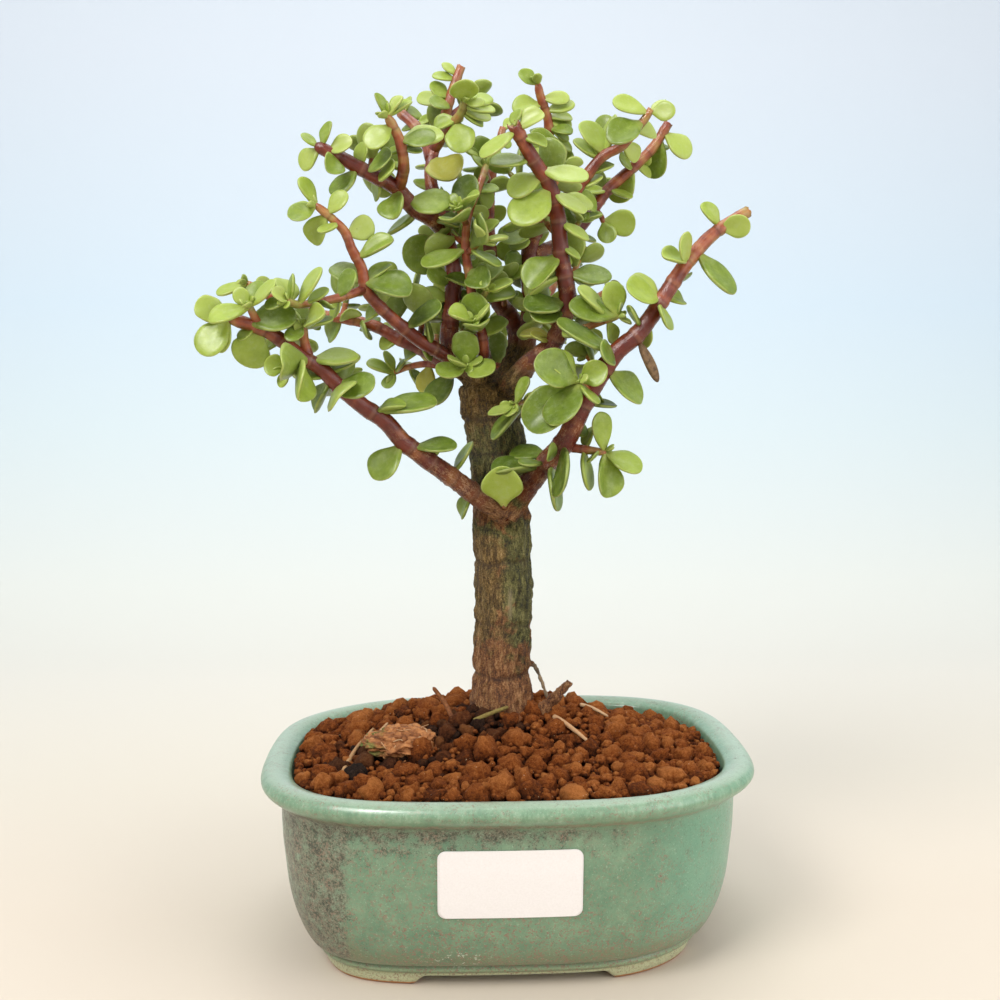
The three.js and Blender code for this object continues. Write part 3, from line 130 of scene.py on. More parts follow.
LIGHTS = (  # name, place, size, power and colour; the small spark shows only in highlights
    ("key", (-520, -620, 900), 480, 8.2, (1.0, 0.98, 0.95)),
    ("fill", (700, -500, 420), 700, 4.0, (1.0, 0.99, 0.98)),
    ("spark", (-260, -480, 620), 170, 3.0, (1.0, 1.0, 1.0)),
    ("top", (60, 150, 1000), 600, 3.6, (1.0, 1.0, 1.0)),
)
LIGHTS_TARGET = (0, 0, 170)
SKY_COLOUR = (0.98, 0.98, 1.0, 1)
SKY_STRENGTH = 0.6

UP = np.array([0.0, 0.0, 1.0])

pot_low, pot_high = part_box("pot")
POT_PLACE = np.array([(pot_low.x + pot_high.x) / 2, (pot_low.y + pot_high.y) / 2, 0.0])


# ---------------------------------------------------------------- small maths
def unit(v):
    return v / np.maximum(np.linalg.norm(v, axis=-1, keepdims=True), 1e-12)


def smooth(low, high, x):
    """0 below low, 1 above high and an even curve between."""
    t = np.clip((np.asarray(x, float) - low) / (high - low), 0, 1)
    return t * t * (3 - 2 * t)


def bump_at(x, middle, width):
    return np.exp(-(((np.asarray(x, float) - middle) / width) ** 2))


def patch_at(x, y, middle, reach):
    """1 at the middle of an oval patch and almost nothing from twice its reach on."""
    return bump_at(np.hypot((x - middle[0]) / reach[0], (y - middle[1]) / reach[1]), 0, 1)


def taper(ends, share):
    """From the first of two ends to the second."""
    foot, tip = ends
    return foot + (tip - foot) * share


def circle(sides):
    """The angles of a ring's points, and the points themselves at radius 1."""
    angles = 2 * np.pi * np.arange(sides) / sides
    return angles, np.stack([np.cos(angles), np.sin(angles), np.zeros(sides)], axis=1)


def heading(bearing, rise):
    """The way that a bearing from +X and a rise above the ground point to, both in degrees."""
    b, r = math.radians(bearing), math.radians(rise)
    return np.array([math.cos(r) * math.cos(b), math.cos(r) * math.sin(b), math.sin(r)])


def seeded(seed):
    """Draws from 0 to 1 by the mulberry32 rule."""
    mask = 0xFFFFFFFF
    state = seed & mask

    def draw():
        nonlocal state
        state = (state + 0x6D2B79F5) & mask
        t = state
        t = ((t ^ (t >> 15)) * (t | 1)) & mask
        t ^= (t + (((t ^ (t >> 7)) * (t | 61)) & mask)) & mask
        return (t ^ (t >> 14)) / 4294967296

    return draw


def field(points, size, seed=0, detail=1):
    """Smooth noise from about -1 to 1 at each point, with features of about the given size."""
    shift = Vector((17.3 * seed, 5.1 * seed, 9.7 * seed))
    values = np.zeros(len(points))
    reach = 1.0
    for _ in range(detail):
        values += reach * np.array([noise.noise(Vector(p) + shift) for p in points / size])
        size *= 0.5
        reach *= 0.5
    return values


class Curve:
    """A centripetal Catmull-Rom curve, walked by its arc length."""

    DIVISIONS = 200

    def __init__(self, points):
        p = np.array(points, float)
        self.count = len(p)
        self.padded = np.vstack([2 * p[0] - p[1], p, 2 * p[-1] - p[-2]])
        self.steps = np.linspace(0, 1, self.DIVISIONS + 1)
        pieces = np.linalg.norm(np.diff(self.raw(self.steps), axis=0), axis=1)
        self.lengths = np.concatenate([[0], np.cumsum(pieces)])
        self.length = self.lengths[-1]

    def raw(self, t):
        """Points at shares t of the curve's own parameter."""
        place = (self.count - 1) * np.atleast_1d(np.asarray(t, float))
        k = np.minimum(np.floor(place).astype(int), self.count - 2)
        w = (place - k)[:, None]
        p0, p1, p2, p3 = (self.padded[k + i] for i in range(4))

        def gap(a, b):
            return (((b - a) ** 2).sum(axis=1) ** 0.25)[:, None]

        d0, d1, d2 = gap(p0, p1), gap(p1, p2), gap(p2, p3)
        start = ((p1 - p0) / d0 - (p2 - p0) / (d0 + d1) + (p2 - p1) / d1) * d1
        end = ((p2 - p1) / d1 - (p3 - p1) / (d1 + d2) + (p3 - p2) / d2) * d1
        cubic = 2 * p1 - 2 * p2 + start + end
        square = -3 * p1 + 3 * p2 - 2 * start - end
        return p1 + w * (start + w * (square + w * cubic))

    def own(self, share):
        return np.interp(np.atleast_1d(share) * self.length, self.lengths, self.steps)

    def at(self, share):
        """Points at shares of the curve's length."""
        points = self.raw(self.own(share))
        return points if np.ndim(share) else points[0]

    def tangent(self, share):
        t = self.own(share)
        step = 0.0001
        ways = unit(self.raw(np.minimum(t + step, 1)) - self.raw(np.maximum(t - step, 0)))
        return ways if np.ndim(share) else ways[0]


def mound(x, y):
    """Height of the soil's surface."""
    q = ((x - MOUND_MIDDLE[0]) / MOUND_REACH[0]) ** 2 + ((y - MOUND_MIDDLE[1]) / MOUND_REACH[1]) ** 2
    return SOIL_EDGE_HEIGHT + MOUND_TILT * y + MOUND_HEIGHT * np.exp(-(q**MOUND_POWER))


def plan_radius(angle, inset):
    """Distance from the pot's axis to its outline moved in by inset: a rounded rectangle with cut corners."""
    c, s = np.abs(np.cos(angle)), np.abs(np.sin(angle))
    slope = math.hypot(1 / POT_HALF_WIDTH, 1 / POT_HALF_DEPTH)
    left = CORNER_CUT + CORNER_SKEW * np.sign(np.round(1e6 * np.sin(2 * angle)))
    corner = (c / POT_HALF_WIDTH + s / POT_HALF_DEPTH) / (2 * left - inset * slope)
    end, side = c / (POT_HALF_WIDTH - inset), s / (POT_HALF_DEPTH - inset)
    return (end**CORNER_POWER + side**CORNER_POWER + corner**CORNER_POWER) ** (-1 / CORNER_POWER)


def plan_ring(sides, inset, height):
    """A level or rising ring that follows the pot's outline. height is a number or a function of x and y."""
    angles, flat = circle(sides)
    points = flat * plan_radius(angles, inset)[:, None]
    points[:, 2] = height(points[:, 0], points[:, 1]) if callable(height) else height
    return points


# ---------------------------------------------------------------- meshes
class Surface:
    """Gathers points, faces and a value for each point under each name, and becomes one object."""

    def __init__(self, *value_names):
        self.points = []
        self.faces = []
        self.values = {name: [] for name in value_names}
        self.count = 0

    def add(self, points, faces, **values):
        self.points.append(np.asarray(points, float))
        self.faces += [np.asarray(group) + self.count for group in faces if len(group)]
        for name, kept in self.values.items():
            kept.append(np.broadcast_to(np.asarray(values.get(name, 0.0), float), (len(points),)))
        self.count += len(points)

    def build(self, name, look, slot, *nodes):
        values = {key: np.concatenate(kept) for key, kept in self.values.items()}
        return new_piece(name, np.vstack(self.points), self.faces, values, look, slot, *nodes)


def new_mesh(name, points, faces):
    """A mesh from points in millimetres and groups of faces that have the same number of corners."""
    mesh = bpy.data.meshes.new(name)
    mesh.vertices.add(len(points))
    mesh.vertices.foreach_set("co", ((points * MM) + POT_PLACE).astype(np.float32).ravel())
    corners = np.concatenate([group.ravel() for group in faces]).astype(np.int32)
    sizes = np.concatenate([np.full(len(group), group.shape[1]) for group in faces])
    starts = np.concatenate([[0], np.cumsum(sizes)[:-1]]).astype(np.int32)
    mesh.loops.add(len(corners))
    mesh.loops.foreach_set("vertex_index", corners)
    mesh.polygons.add(len(starts))
    mesh.polygons.foreach_set("loop_start", starts)
    mesh.polygons.foreach_set("use_smooth", np.ones(len(starts), bool))
    mesh.update(calc_edges=True)
    return mesh


def read_mesh(mesh):
    """Points in millimetres, normals and groups of faces of a mesh."""
    points = np.zeros(3 * len(mesh.vertices), np.float32)
    normals = np.zeros_like(points)
    mesh.vertices.foreach_get("co", points)
    mesh.vertex_normals.foreach_get("vector", normals)
    corners = np.zeros(len(mesh.loops), np.int32)
    mesh.loops.foreach_get("vertex_index", corners)
    sizes = np.zeros(len(mesh.polygons), np.int32)
    starts = np.zeros_like(sizes)
    mesh.polygons.foreach_get("loop_total", sizes)
    mesh.polygons.foreach_get("loop_start", starts)
    faces = [corners[starts[sizes == n][:, None] + np.arange(n)] for n in np.unique(sizes)]
    points = (points.reshape(-1, 3).astype(float) - POT_PLACE) / MM
    return points, normals.reshape(-1, 3).astype(float), faces


def new_object(name, data):
    made = bpy.data.objects.new(name, data)
    bpy.context.scene.collection.objects.link(made)
    return made


def new_piece(name, points, faces, values, look, slot, *nodes):
    """An object with a material that rides the body in place of CAD nodes."""
    mesh = new_mesh(name, points, faces)
    for key, kept in values.items():
        mesh.attributes.new(key, "FLOAT", "POINT").data.foreach_set("value", kept.astype(np.float32))
    mesh.materials.append(look)
    piece = new_object(name, mesh)
    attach(piece, BODY)
    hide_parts(*nodes)
    return piece


def apply_modifiers(piece):
    """Replaces an object's mesh with what its modifiers make of it."""
    settled = piece.evaluated_get(bpy.context.evaluated_depsgraph_get())
    old = piece.data
    piece.data = bpy.data.meshes.new_from_object(settled)
    piece.modifiers.clear()
    bpy.data.meshes.remove(old)


def ring_faces(rows, sides):
    """Faces of a closed surface through rows of rings, with a pole before the first and after the last."""
    i = np.arange(sides)
    j = (i + 1) % sides
    base = np.arange(rows - 1)[:, None] * sides
    quads = np.stack([base + i, base + j, base + sides + j, base + sides + i], axis=-1).reshape(-1, 4)
    first = np.stack([np.full(sides, rows * sides), j, i], axis=1)
    end = (rows - 1) * sides
    last = np.stack([np.full(sides, rows * sides + 1), end + i, end + j], axis=1)
    return [quads, np.vstack([first, last])]


def frames_along(line):
    """Unit tangents along a line of points, and two sideways axes carried along it without twisting."""
    ways = unit(np.gradient(line, axis=0))
    helper = np.array([0.0, -1.0, 0.0]) if abs(ways[0][1]) < 0.8 else np.array([1.0, 0.0, 0.0])
    side = unit(np.cross(ways[0], helper))
    sides = []
    for way in ways:
        side = unit(side - way * (side @ way))
        sides.append(side)
    sides = np.array(sides)
    return ways, sides, np.cross(ways, sides)


def tube(line, radii, sides):
    """Points of a tube as rings and two poles, each ring's ways outwards, and the rings' angles."""
    _, across, other = frames_along(line)
    angles, flat = circle(sides)
    radii = np.broadcast_to(np.reshape(radii, (len(line), -1)), (len(line), sides))
    out = across[:, None] * flat[None, :, :1] + other[:, None] * flat[None, :, 1:2]
    rings = line[:, None] + out * radii[..., None]
    return np.vstack([rings.reshape(-1, 3), line[0], line[-1]]), out, angles


def round_lump(divisions):
    """Points and faces of a unit ball of even triangles."""
    ball = bmesh.new()
    bmesh.ops.create_icosphere(ball, subdivisions=divisions, radius=1)
    points = np.array([v.co for v in ball.verts])
    faces = np.array([[v.index for v in f.verts] for f in ball.faces])
    ball.free()
    return points, faces


def lump_shapes(divisions, count, seed, roughness=0.3, cuts=5):
    """Irregular lumps: balls pressed out of round, broken along flat sides, with a crumbly face."""
    points, faces = round_lump(divisions)
    rng = np.random.default_rng(seed)
    shapes = []
    for k in range(count):
        shape = points * (1 + 1.2 * roughness * field(points, 0.9, seed + k)[:, None])
        for _ in range(cuts):
            way = unit(rng.normal(size=3))
            over = np.maximum(shape @ way - rng.uniform(0.6, 0.84), 0)
            shape = shape - 0.85 * over[:, None] * way
        shapes.append(shape * (1 + 0.8 * roughness * field(shape, 0.5, seed + 50 + k, 3)[:, None]))
    return shapes, faces


def turned(points, rng):
    """The points turned by a random amount about a random line."""
    w, x, y, z = unit(rng.normal(size=4))
    matrix = np.array([
        [1 - 2 * (y * y + z * z), 2 * (x * y - z * w), 2 * (x * z + y * w)],
        [2 * (x * y + z * w), 1 - 2 * (x * x + z * z), 2 * (y * z - x * w)],
        [2 * (x * z - y * w), 2 * (y * z + x * w), 1 - 2 * (x * x + y * y)],
    ])
    return points @ matrix.T


def strand(surface, path, radii, sides=10, step=0.7, wobble=0.12, seed=0, **values):
    """A root, twig or stalk along a path, a little uneven, with rounded ends."""
    curve = Curve(path)
    rows = max(6, round(curve.length / step))
    share = np.linspace(0, 1, rows)
    line = curve.at(share)
    radius = taper(radii, share) * np.sqrt(np.clip(1 - (np.abs(2 * share - 1)) ** 24, 0.05, 1))
    points, _, _ = tube(line, radius, sides)
    uneven = wobble * radii[0] * field(points, 2.2 * radii[0] + 0.4, seed, 2)
    surface.add(points + uneven[:, None] * unit(points - line[0] + 0.01), ring_faces(rows, sides), **values)


# ---------------------------------------------------------------- the tree's own measures
TRUNK_PATH = (
    (-2, 6, 50), (-2, 6, 75), (-1, 6, 109), (-2, 6, 136), (-3, 7, 157), (-5, 8, 172), (-6, 8, 184),
)
TRUNK_RADIUS = 9.7
TRUNK_AXIS = (-2, 6)
FLARE_TOP = 84.0
FLARE = 3.4
GROOVES = (  # old leaf scars round the trunk: height, half width and depth
    (84.8, 1.2, 0.9), (101.5, 1.0, 0.6), (123.2, 1.1, 0.8), (141.0, 1.0, 0.4), (158.5, 1.3, 0.9),
    (169.6, 1.3, 1.1),
)
KNOT = (8.3, -1.0, 141.1)
SCAR = (6.3, -2.0, 122.2)

# The trunk's small roots: the path of each and its radius at the foot and the tip.
ROOTS = {
    "cut_root": (((2, 3, 64), (8, -1, 69), (13, -2, 75), (17, -3, 79), (21, -3, 83)), (2.8, 1.4)),
    "arching_root": (((6, 6, 88), (9, 6, 87), (12, 4, 81), (14, 2, 74), (15, 1, 66)), (0.8, 0.6)),
}

# Loose things on the soil: points (x, y, height above the soil's surface), radii, tone and greenness.
LITTER = {
    "root_pale_long": (((15, -4, 0.6), (19, -10, 1.4), (26, -19, 1.2)), (0.95, 0.5), 0.85, 0),
    "root_pale_short": (((26, 15, 1.2), (30, 11, 1.8), (35, 7, 1.4)), (0.75, 0.45), 0.95, 0),
    "twig_green": (((-12, -10, 1), (-6, -8, 2.2), (0, -5, 3)), (0.8, 0.6), 0.6, 0.75),
    "twig_red": (((-18, -5, -1), (-21, -1, 4), (-25, 0, 10)), (0.85, 0.7), 0.3, 0),
    "stalk_left": (((-53, -28, 0.8), (-50, -14, 1.8), (-45, 1, 1.6)), (0.8, 0.5), 0.8, 0.15),
    "stalk_right": (((-49, -26, 1), (-46, -13, 2), (-40, 3, 1.4)), (0.65, 0.45), 0.9, 0),
}


@dataclass
class Pairs:
    """Leaves in pairs: where the first may stand (percent), the step between pairs, the length of the lowest
    and the highest leaves, and a seed."""

    start: float
    step: float
    lengths: tuple
    seed: int


@dataclass
class Limb:
    """A stem: the node it belongs to, its radius at the foot and the tip, the points its axis runs through,
    and its leaves, in rows or in pairs.

    A leaf's row is its place along the limb (percent), its bearing from +X and its rise (degrees), its
    length, how far its face is rolled over (degrees), and its width as a share of its length where that
    isn't USUAL_WIDTH.
    """

    node: str
    radii: tuple
    path: list
    leaves: tuple = ()
    pairs: Pairs = None


USUAL_WIDTH = 0.75
LIMBS = {
    "low_left": Limb("branch_low_left", (3.4, 1.9), [
        (-1, -5, 140), (-8, -8, 144), (-17, -12, 151), (-29, -17, 160), (-34, -19, 164), (-39, -21, 170),
        (-46, -23, 175), (-53, -25, 181), (-59, -27, 187), (-64, -29, 190), (-70, -31, 195), (-75, -33, 198),
        (-81, -35, 200), (-85, -36, 201)
    ], [
        (95, -20, 10, 15.5, 55), (100, -170, 25, 10.5, -75), (100, -165, -50, 13.5, -65),
        (100, 135, -60, 11, -90), (90, 130, -50, 12.5, -140, 0.9), (75, 5, 5, 15.5, 30, 0.6),
        (68, -20, 35, 12, 50, 0.6), (68, 95, 55, 7.5, -45, 0.6), (67, -145, 10, 9.5, -45),
        (65, -25, -10, 14.5, 50), (63, 85, -75, 13.5, 170, 0.9), (67, 140, -55, 13, -65, 0.6),
        (77, -55, -80, 19, -40, 0.6), (75, 130, -65, 19, -85, 0.6), (52, 10, 10, 21, 20, 0.6),
        (37, -10, 0, 15.5, 25, 0.6), (39, -170, -50, 15, -40), (21, 30, 55, 13.5, -10, 0.6),
        (92, -135, -30, 6.5, -20), (52, 40, -20, 11.5, 45, 0.6), (29, 70, 35, 11, -30, 0.6),
        (84, 145, -20, 9, -55, 0.6), (13, 110, -40, 11.5, -90, 0.6)
    ]),
    "low_left_bud": Limb("branch_low_left", (1.3, 1.1), [
        (-75, -33, 198), (-77, -36, 202), (-78, -38, 205)
    ], [
        (96, -160, -20, 13, -45, 0.6), (97, -165, 50, 6.5, -95), (100, -15, 40, 11, 50, 0.6),
        (95, 60, 60, 9, 10)
    ]),
    "low_left_riser": Limb("branch_low_left", (1.7, 1.3), [
        (-62, -28, 190), (-63, -29, 195), (-63, -31, 200)
    ], [
        (100, 180, 40, 10, -20, 0.6), (100, -5, 50, 13.5, 35, 0.6), (100, -110, -5, 8.5, -35, 0.6),
        (100, -10, 10, 9.5, 25, 0.6), (96, 135, -50, 8.5, -90)
    ]),
    "low_left_drop": Limb("branch_low_left", (1.1, 0.9), [
        (-64, -29, 190), (-67, -31, 188), (-68, -33, 186)
    ], [
        (100, -165, 10, 7, -90, 1), (100, -150, -70, 6.5, -20, 0.6), (79, 90, 45, 7, -55, 0.6)
    ]),
    "low_right": Limb("branch_low_right", (3.9, 1.9), [
        (-1, -5, 140), (6, -8, 149), (12, -12, 157), (17, -15, 163), (23, -19, 176), (28, -21, 185),
        (33, -22, 192), (39, -22, 197), (43, -22, 202), (47, -21, 208), (53, -20, 217), (57, -19, 222),
        (64, -17, 229), (75, -15, 236)
    ], [
        (51, -170, 20, 22.5, -35, 0.6), (68, -165, 0, 15, -50), (68, 175, 40, 12, -50, 0.6),
        (68, 0, 60, 8, 35, 0.6), (69, 10, -5, 9.5, 60), (67, 75, -70, 11.5, 135), (62, 110, -60, 10, -125),
        (59, 115, -10, 9, -65), (50, -160, 5, 11.5, -70), (46, 15, -40, 16.5, 55),
        (40, 85, -60, 12, -180, 0.9), (26, 45, 30, 10, 50), (17, -165, -10, 18, -15, 0.6),
        (18, 160, -35, 11.5, -45, 0.6), (19, 70, -70, 17.5, 100, 0.6), (24, -120, -80, 22.5, 45, 0.6),
        (21, 55, -70, 21.5, 75, 0.6), (22, 120, -55, 10.5, -75, 0.6), (80, -170, 0, 13.5, -55, 0.6),
        (80, -170, 70, 12.5, -70), (83, -10, -50, 18, 40, 0.6), (92, -170, 45, 10, -60, 0.6),
        (91, 20, -20, 10, 110), (20, 155, 5, 15, -25, 0.6), (36, 45, 15, 11.5, 15, 0.6),
        (73, 45, 30, 10, 0, 0.6), (57, -10, -62, 16, 40, 0.4)
    ]),
    "crotch_stalk": Limb("trunk", (1.3, 1.1), [
        (-1, -3, 138), (-1, -7, 141), (-2, -11, 143)
    ], [
        (100, -100, 58, 16, 180, 0.84)
    ]),
    "rosette_stalk": Limb("branch_low_right", (1.5, 1.2), [
        (25, -20, 179), (22, -24, 181), (20, -27, 183)
    ], [
        (97, -160, 20, 16.5, -70), (93, 170, 40, 13.5, -50), (90, -20, 25, 10, 95, 0.85),
        (85, -145, -50, 17.5, -20), (77, 180, -45, 21.5, -65), (79, 60, -60, 10, 105, 0.6)
    ]),
    "low_right_side": Limb("branch_low_right", (1.6, 1.2), [
        (17, -14, 162), (24, -15, 161), (31, -16, 160)
    ], [
        (100, -135, 75, 13.5, -95, 0.6), (97, -80, -80, 14.5, -25), (100, -5, -25, 13, 40),
        (47, -75, -75, 13.5, -40, 0.6), (49, 65, 55, 9.5, -30, 0.6), (78, 135, -30, 6.5, -60)
    ]),
    "tuft_left": Limb("tuft_left", (1.3, 1.1), [
        (-10, 0, 186), (-13, -4, 187), (-14, -7, 188)
    ], [
        (85, -95, 65, 12, -180), (85, 30, 50, 7, 5, 0.6), (53, -15, 15, 12, 50),
        (78, -150, -15, 12.5, -35, 0.6), (84, 170, 15, 10.5, -35, 0.6)
    ]),
    "tuft_right": Limb("tuft_right", (1, 0.8), [
        (0, 3, 173), (5, -5, 176), (4, -10, 176), (1, -13, 175)
    ], [
        (95, -30, 65, 10, 50, 0.6), (95, -160, -20, 10, -25, 0.6), (89, -115, -25, 7.5, 15, 0.6),
        (56, -160, -45, 16.5, 0, 0.6), (79, 20, 20, 7, 30)
    ]),
    "front_shoot": Limb("branch_front_shoot", (1.8, 1.1), [
        (-9, 0, 183), (-8, -6, 194), (-11, -9, 206), (-13, -11, 217), (-14, -12, 225), (-13, -11, 235),
        (-10, -8, 243), (-7, -6, 252)
    ], [
        (51, -25, -45, 12.5, 75), (60, -165, -25, 15.5, -25, 0.6), (63, -10, 30, 12.5, 50, 0.6),
        (74, 125, 65, 9.5, 5, 0.6), (79, -30, -30, 6.5, 85), (56, 35, 60, 10, 15), (86, -15, 20, 8, 55, 0.6),
        (88, 40, -50, 9, 95), (97, 155, 55, 7.5, -30, 0.6), (99, 15, 45, 6.5, 55), (99, 125, -45, 6.5, -105),
        (42, 35, 40, 14.5, 20, 0.6), (22, 20, 35, 10, 40), (44, 140, 20, 10, -35, 0.6), (75, 40, 40, 9.5, 15),
        (29, 135, 45, 9.5, -25)
    ]),
    "front_right": Limb("branch_front_right", (3.4, 2), [
        (0, 0, 181), (6, -6, 188), (14, -10, 195), (18, -14, 208), (16, -16, 221), (14, -18, 237),
        (11, -21, 244), (7, -24, 249), (0, -30, 259)
    ], [
        (98, -170, -40, 14, -30, 0.6), (87, -175, -10, 13.5, -40, 0.6), (76, -150, -45, 17.5, -40),
        (80, 160, -20, 12.5, -65), (98, -5, 30, 9.5, 55), (96, 45, -15, 9, 70, 0.6),
        (83, -15, -15, 15.5, 45, 0.6), (75, -15, -60, 13, 35, 0.6), (72, 25, -5, 13, 55, 0.6),
        (65, 0, -35, 11.5, 35, 0.6), (58, 0, -45, 8.5, 40, 0.6), (55, -165, -50, 16, -35),
        (48, -155, -30, 13.5, -5, 0.6), (39, 170, -20, 15.5, -60), (36, -150, -15, 14, -45),
        (47, 0, 0, 15, 50, 0.6), (26, 155, 5, 12, -20, 0.6), (24, 150, -15, 8.5, -50), (99, 75, 60, 6.5, -35),
        (53, 45, -30, 10, 75, 0.6), (35, 40, 30, 11, 10, 0.6), (18, 45, -15, 11, 60, 0.6)
    ]),
    "front_right_side": Limb("branch_front_right", (1.3, 1), [
        (15, -10, 197), (22, -15, 199), (28, -19, 201), (34, -22, 203)
    ], [
        (99, -175, 10, 16, -50, 0.6), (99, 180, 75, 11, -80), (85, 160, 40, 14.5, -15, 0.6),
        (81, 45, -60, 8, 90), (53, 40, -55, 8, 80), (38, 120, 35, 9, -10, 0.6)
    ]),
    "mid_left": Limb("branch_mid_left", (2.7, 1.2), [
        (-10, 2, 185), (-20, -4, 191), (-29, -9, 196), (-33, -12, 199), (-41, -17, 206), (-45, -20, 211),
        (-46, -21, 217), (-49, -22, 223), (-51, -23, 228), (-55, -24, 232), (-60, -25, 236)
    ], [
        (64, 155, 25, 12.5, -40), (65, -15, -15, 16, 40), (64, 40, 30, 11, 15, 0.6),
        (39, -20, 30, 14.5, 50, 0.6), (74, -10, 25, 13, 55, 0.6), (83, 20, 25, 9.5, 90, 0.8),
        (94, 145, -50, 10.5, -95), (89, -155, -40, 9.5, -30, 0.6), (94, -15, 40, 9, 65),
        (100, -155, 60, 9.5, -55), (99, -160, -25, 9.5, -55), (100, 160, -10, 10, -50, 0.6),
        (30, 55, -35, 10.5, 85, 0.6), (21, 110, 50, 10, 25, 0.6), (51, 125, -15, 10, -65, 0.6)
    ]),
    "mid_left_fork": Limb("branch_mid_left", (1.5, 1.1), [
        (-45, -20, 211), (-52, -26, 208), (-59, -31, 206), (-64, -36, 205), (-67, -40, 206)
    ], [
        (83, -15, 55, 13, 50, 0.6), (74, 35, 30, 8.5, 20, 0.6), (93, 150, 60, 11, -10),
        (94, 35, 80, 8.5, -5, 0.6), (36, -20, 55, 10, 65), (32, 135, -55, 7.5, -90, 0.6),
        (100, 165, -10, 7.5, -50, 0.6), (56, 45, -20, 7.5, 55, 0.6), (100, -140, 25, 6.5, -70)
    ]),
    "upright": Limb("branch_upright", (3.4, 1.4), [
        (-8, 4, 183), (-15, 2, 189), (-19, 1, 195), (-18, 0, 209), (-18, 0, 221), (-22, 2, 236),
        (-25, 3, 248), (-24, 4, 258), (-21, 3, 266), (-18, 2, 276), (-15, 2, 284)
    ], [
        (97, -180, 40, 6.5, -55, 0.6), (96, -175, 5, 8, -55, 0.6), (90, 180, 35, 8, -55),
        (89, 165, 10, 11, -45, 0.6), (89, -135, -20, 9, -50), (72, -35, -45, 16.5, 45),
        (48, -30, 40, 8.5, 75), (47, -30, 20, 9, 55, 0.6), (42, 170, 15, 16.5, -95),
        (44, -165, 50, 11, -45, 0.6), (35, -165, -15, 10.5, -70), (26, -30, -50, 18, 70, 0.85),
        (17, 135, 50, 12, -15), (9, 50, 50, 11, 0), (70, 125, 40, 9.5, -15), (29, 135, 5, 11, -50),
        (93, 40, 20, 8, 30, 0.6), (62, 130, 30, 9, -20), (68, 45, 25, 12.5, 35), (44, 45, -20, 9.5, 75),
        (51, 130, 30, 10.5, -25, 0.6), (23, 50, 15, 10.5, 30, 0.6)
    ]),
    "upper_left": Limb("branch_upright", (2.9, 1.9), [
        (-21, 1, 232), (-25, -5, 235), (-30, -9, 237), (-36, -14, 243), (-43, -18, 246), (-51, -20, 250),
        (-60, -22, 254)
    ], [
        (96, -15, 65, 8.5, 65, 0.6), (97, -170, 35, 6.5, -50), (92, -15, 15, 9, 65), (96, 170, -35, 9, -65),
        (86, 110, -60, 10.5, -165), (72, -160, -50, 12.5, -30, 0.6), (70, -75, 85, 8.5, -45),
        (70, 150, 35, 7, -10, 0.6), (67, 10, 25, 11.5, 45), (59, -30, 20, 10.5, 60), (45, 100, -65, 13, -145),
        (24, 145, -25, 14, -45, 0.6), (36, -25, -10, 15, 55), (34, 25, -20, 8, 60),
        (80, 110, 50, 8.5, 40, 0.6), (14, 50, -40, 10, 85), (57, 110, -30, 8.5, -105)
    ]),
    "upper_left_riser": Limb("branch_upright", (2, 1.4), [
        (-35, -13, 242), (-33, -20, 248), (-34, -24, 255), (-36, -26, 259), (-38, -28, 262)
    ], [
        (86, -165, -40, 10.5, -60), (97, -165, 60, 7.5, -55, 0.6), (97, -10, 50, 7.5, 50, 0.6),
        (97, 10, 35, 9, 35, 0.6), (67, -15, 0, 11.5, 55, 0.6), (66, 20, 15, 14.5, 45, 0.6),
        (57, 15, 0, 6.5, 50), (55, 145, 5, 7, -45, 0.6), (31, 125, 25, 9.5, -10, 0.6)
    ]),
    "upright_fork": Limb("branch_upright", (1.9, 1.3), [
        (-24, 4, 258), (-19, -4, 263), (-15, -10, 267), (-14, -13, 270)
    ], [
        (99, -95, 30, 9.5, -175, 0.95), (99, -25, -10, 7, 55, 0.6), (94, 20, 15, 10, 50, 0.6),
        (91, -5, -15, 10, 45, 0.6), (62, -60, -60, 12, 35, 0.8), (81, 30, -25, 8.5, 65),
        (69, 135, -15, 8.5, -70), (84, 35, -10, 10, 60, 0.6)
    ]),
    "upper_back": Limb("branch_upright", (2, 1.7), [
        (-25, 4, 255), (-27, 9, 262), (-30, 12, 267), (-35, 15, 272)
    ], [
        (96, 15, 20, 8.5, 65), (67, 25, 25, 7.5, 35, 0.6), (67, 145, 10, 6.5, -55),
        (100, 55, 60, 7.5, -10, 0.6)
    ]),
    "right_main": Limb("branch_right", (3, 2.7), [
        (3, 8, 183), (7, 12, 195), (8, 13, 210), (8, 12, 228), (11, 10, 236)
    ], [
        (75, -160, -15, 9, -90), (75, 30, -45, 9, 85), (52, -155, -30, 8, -80), (52, 35, 25, 9, 30, 0.6),
        (98, 145, 30, 8, -55), (98, -165, -25, 14.5, -45), (82, 155, 45, 9, -55), (82, 40, 35, 10, 20),
        (63, 35, -40, 9, 80), (92, 145, -30, 9.5, -75), (28, 30, 25, 8.5, 25), (63, 115, 35, 8, -5, 0.6)
    ]),
    "right_top": Limb("branch_right", (1.9, 1.4), [
        (10, 12, 234), (14, 15, 250), (14, 12, 269), (11, 9, 277), (10, 8, 281)
    ], [
        (98, -170, 30, 7.5, -80), (89, 0, 0, 9.5, 60, 0.6), (80, -5, 15, 10, 55, 0.6),
        (76, 15, 5, 9, 40, 0.6), (85, -180, -10, 10.5, -50), (73, 20, 0, 8.5, 60), (69, -5, -20, 9, 55, 0.6),
        (55, -85, 45, 7.5, 170, 0.95), (61, 140, 30, 8.5, -35), (61, 35, -15, 8.5, 70),
        (35, 40, 40, 12, 15, 0.6), (42, 135, 25, 9.5, -35), (51, -15, 0, 8.5, 75),
        (71, 50, -25, 8.5, 80, 0.6)
    ]),
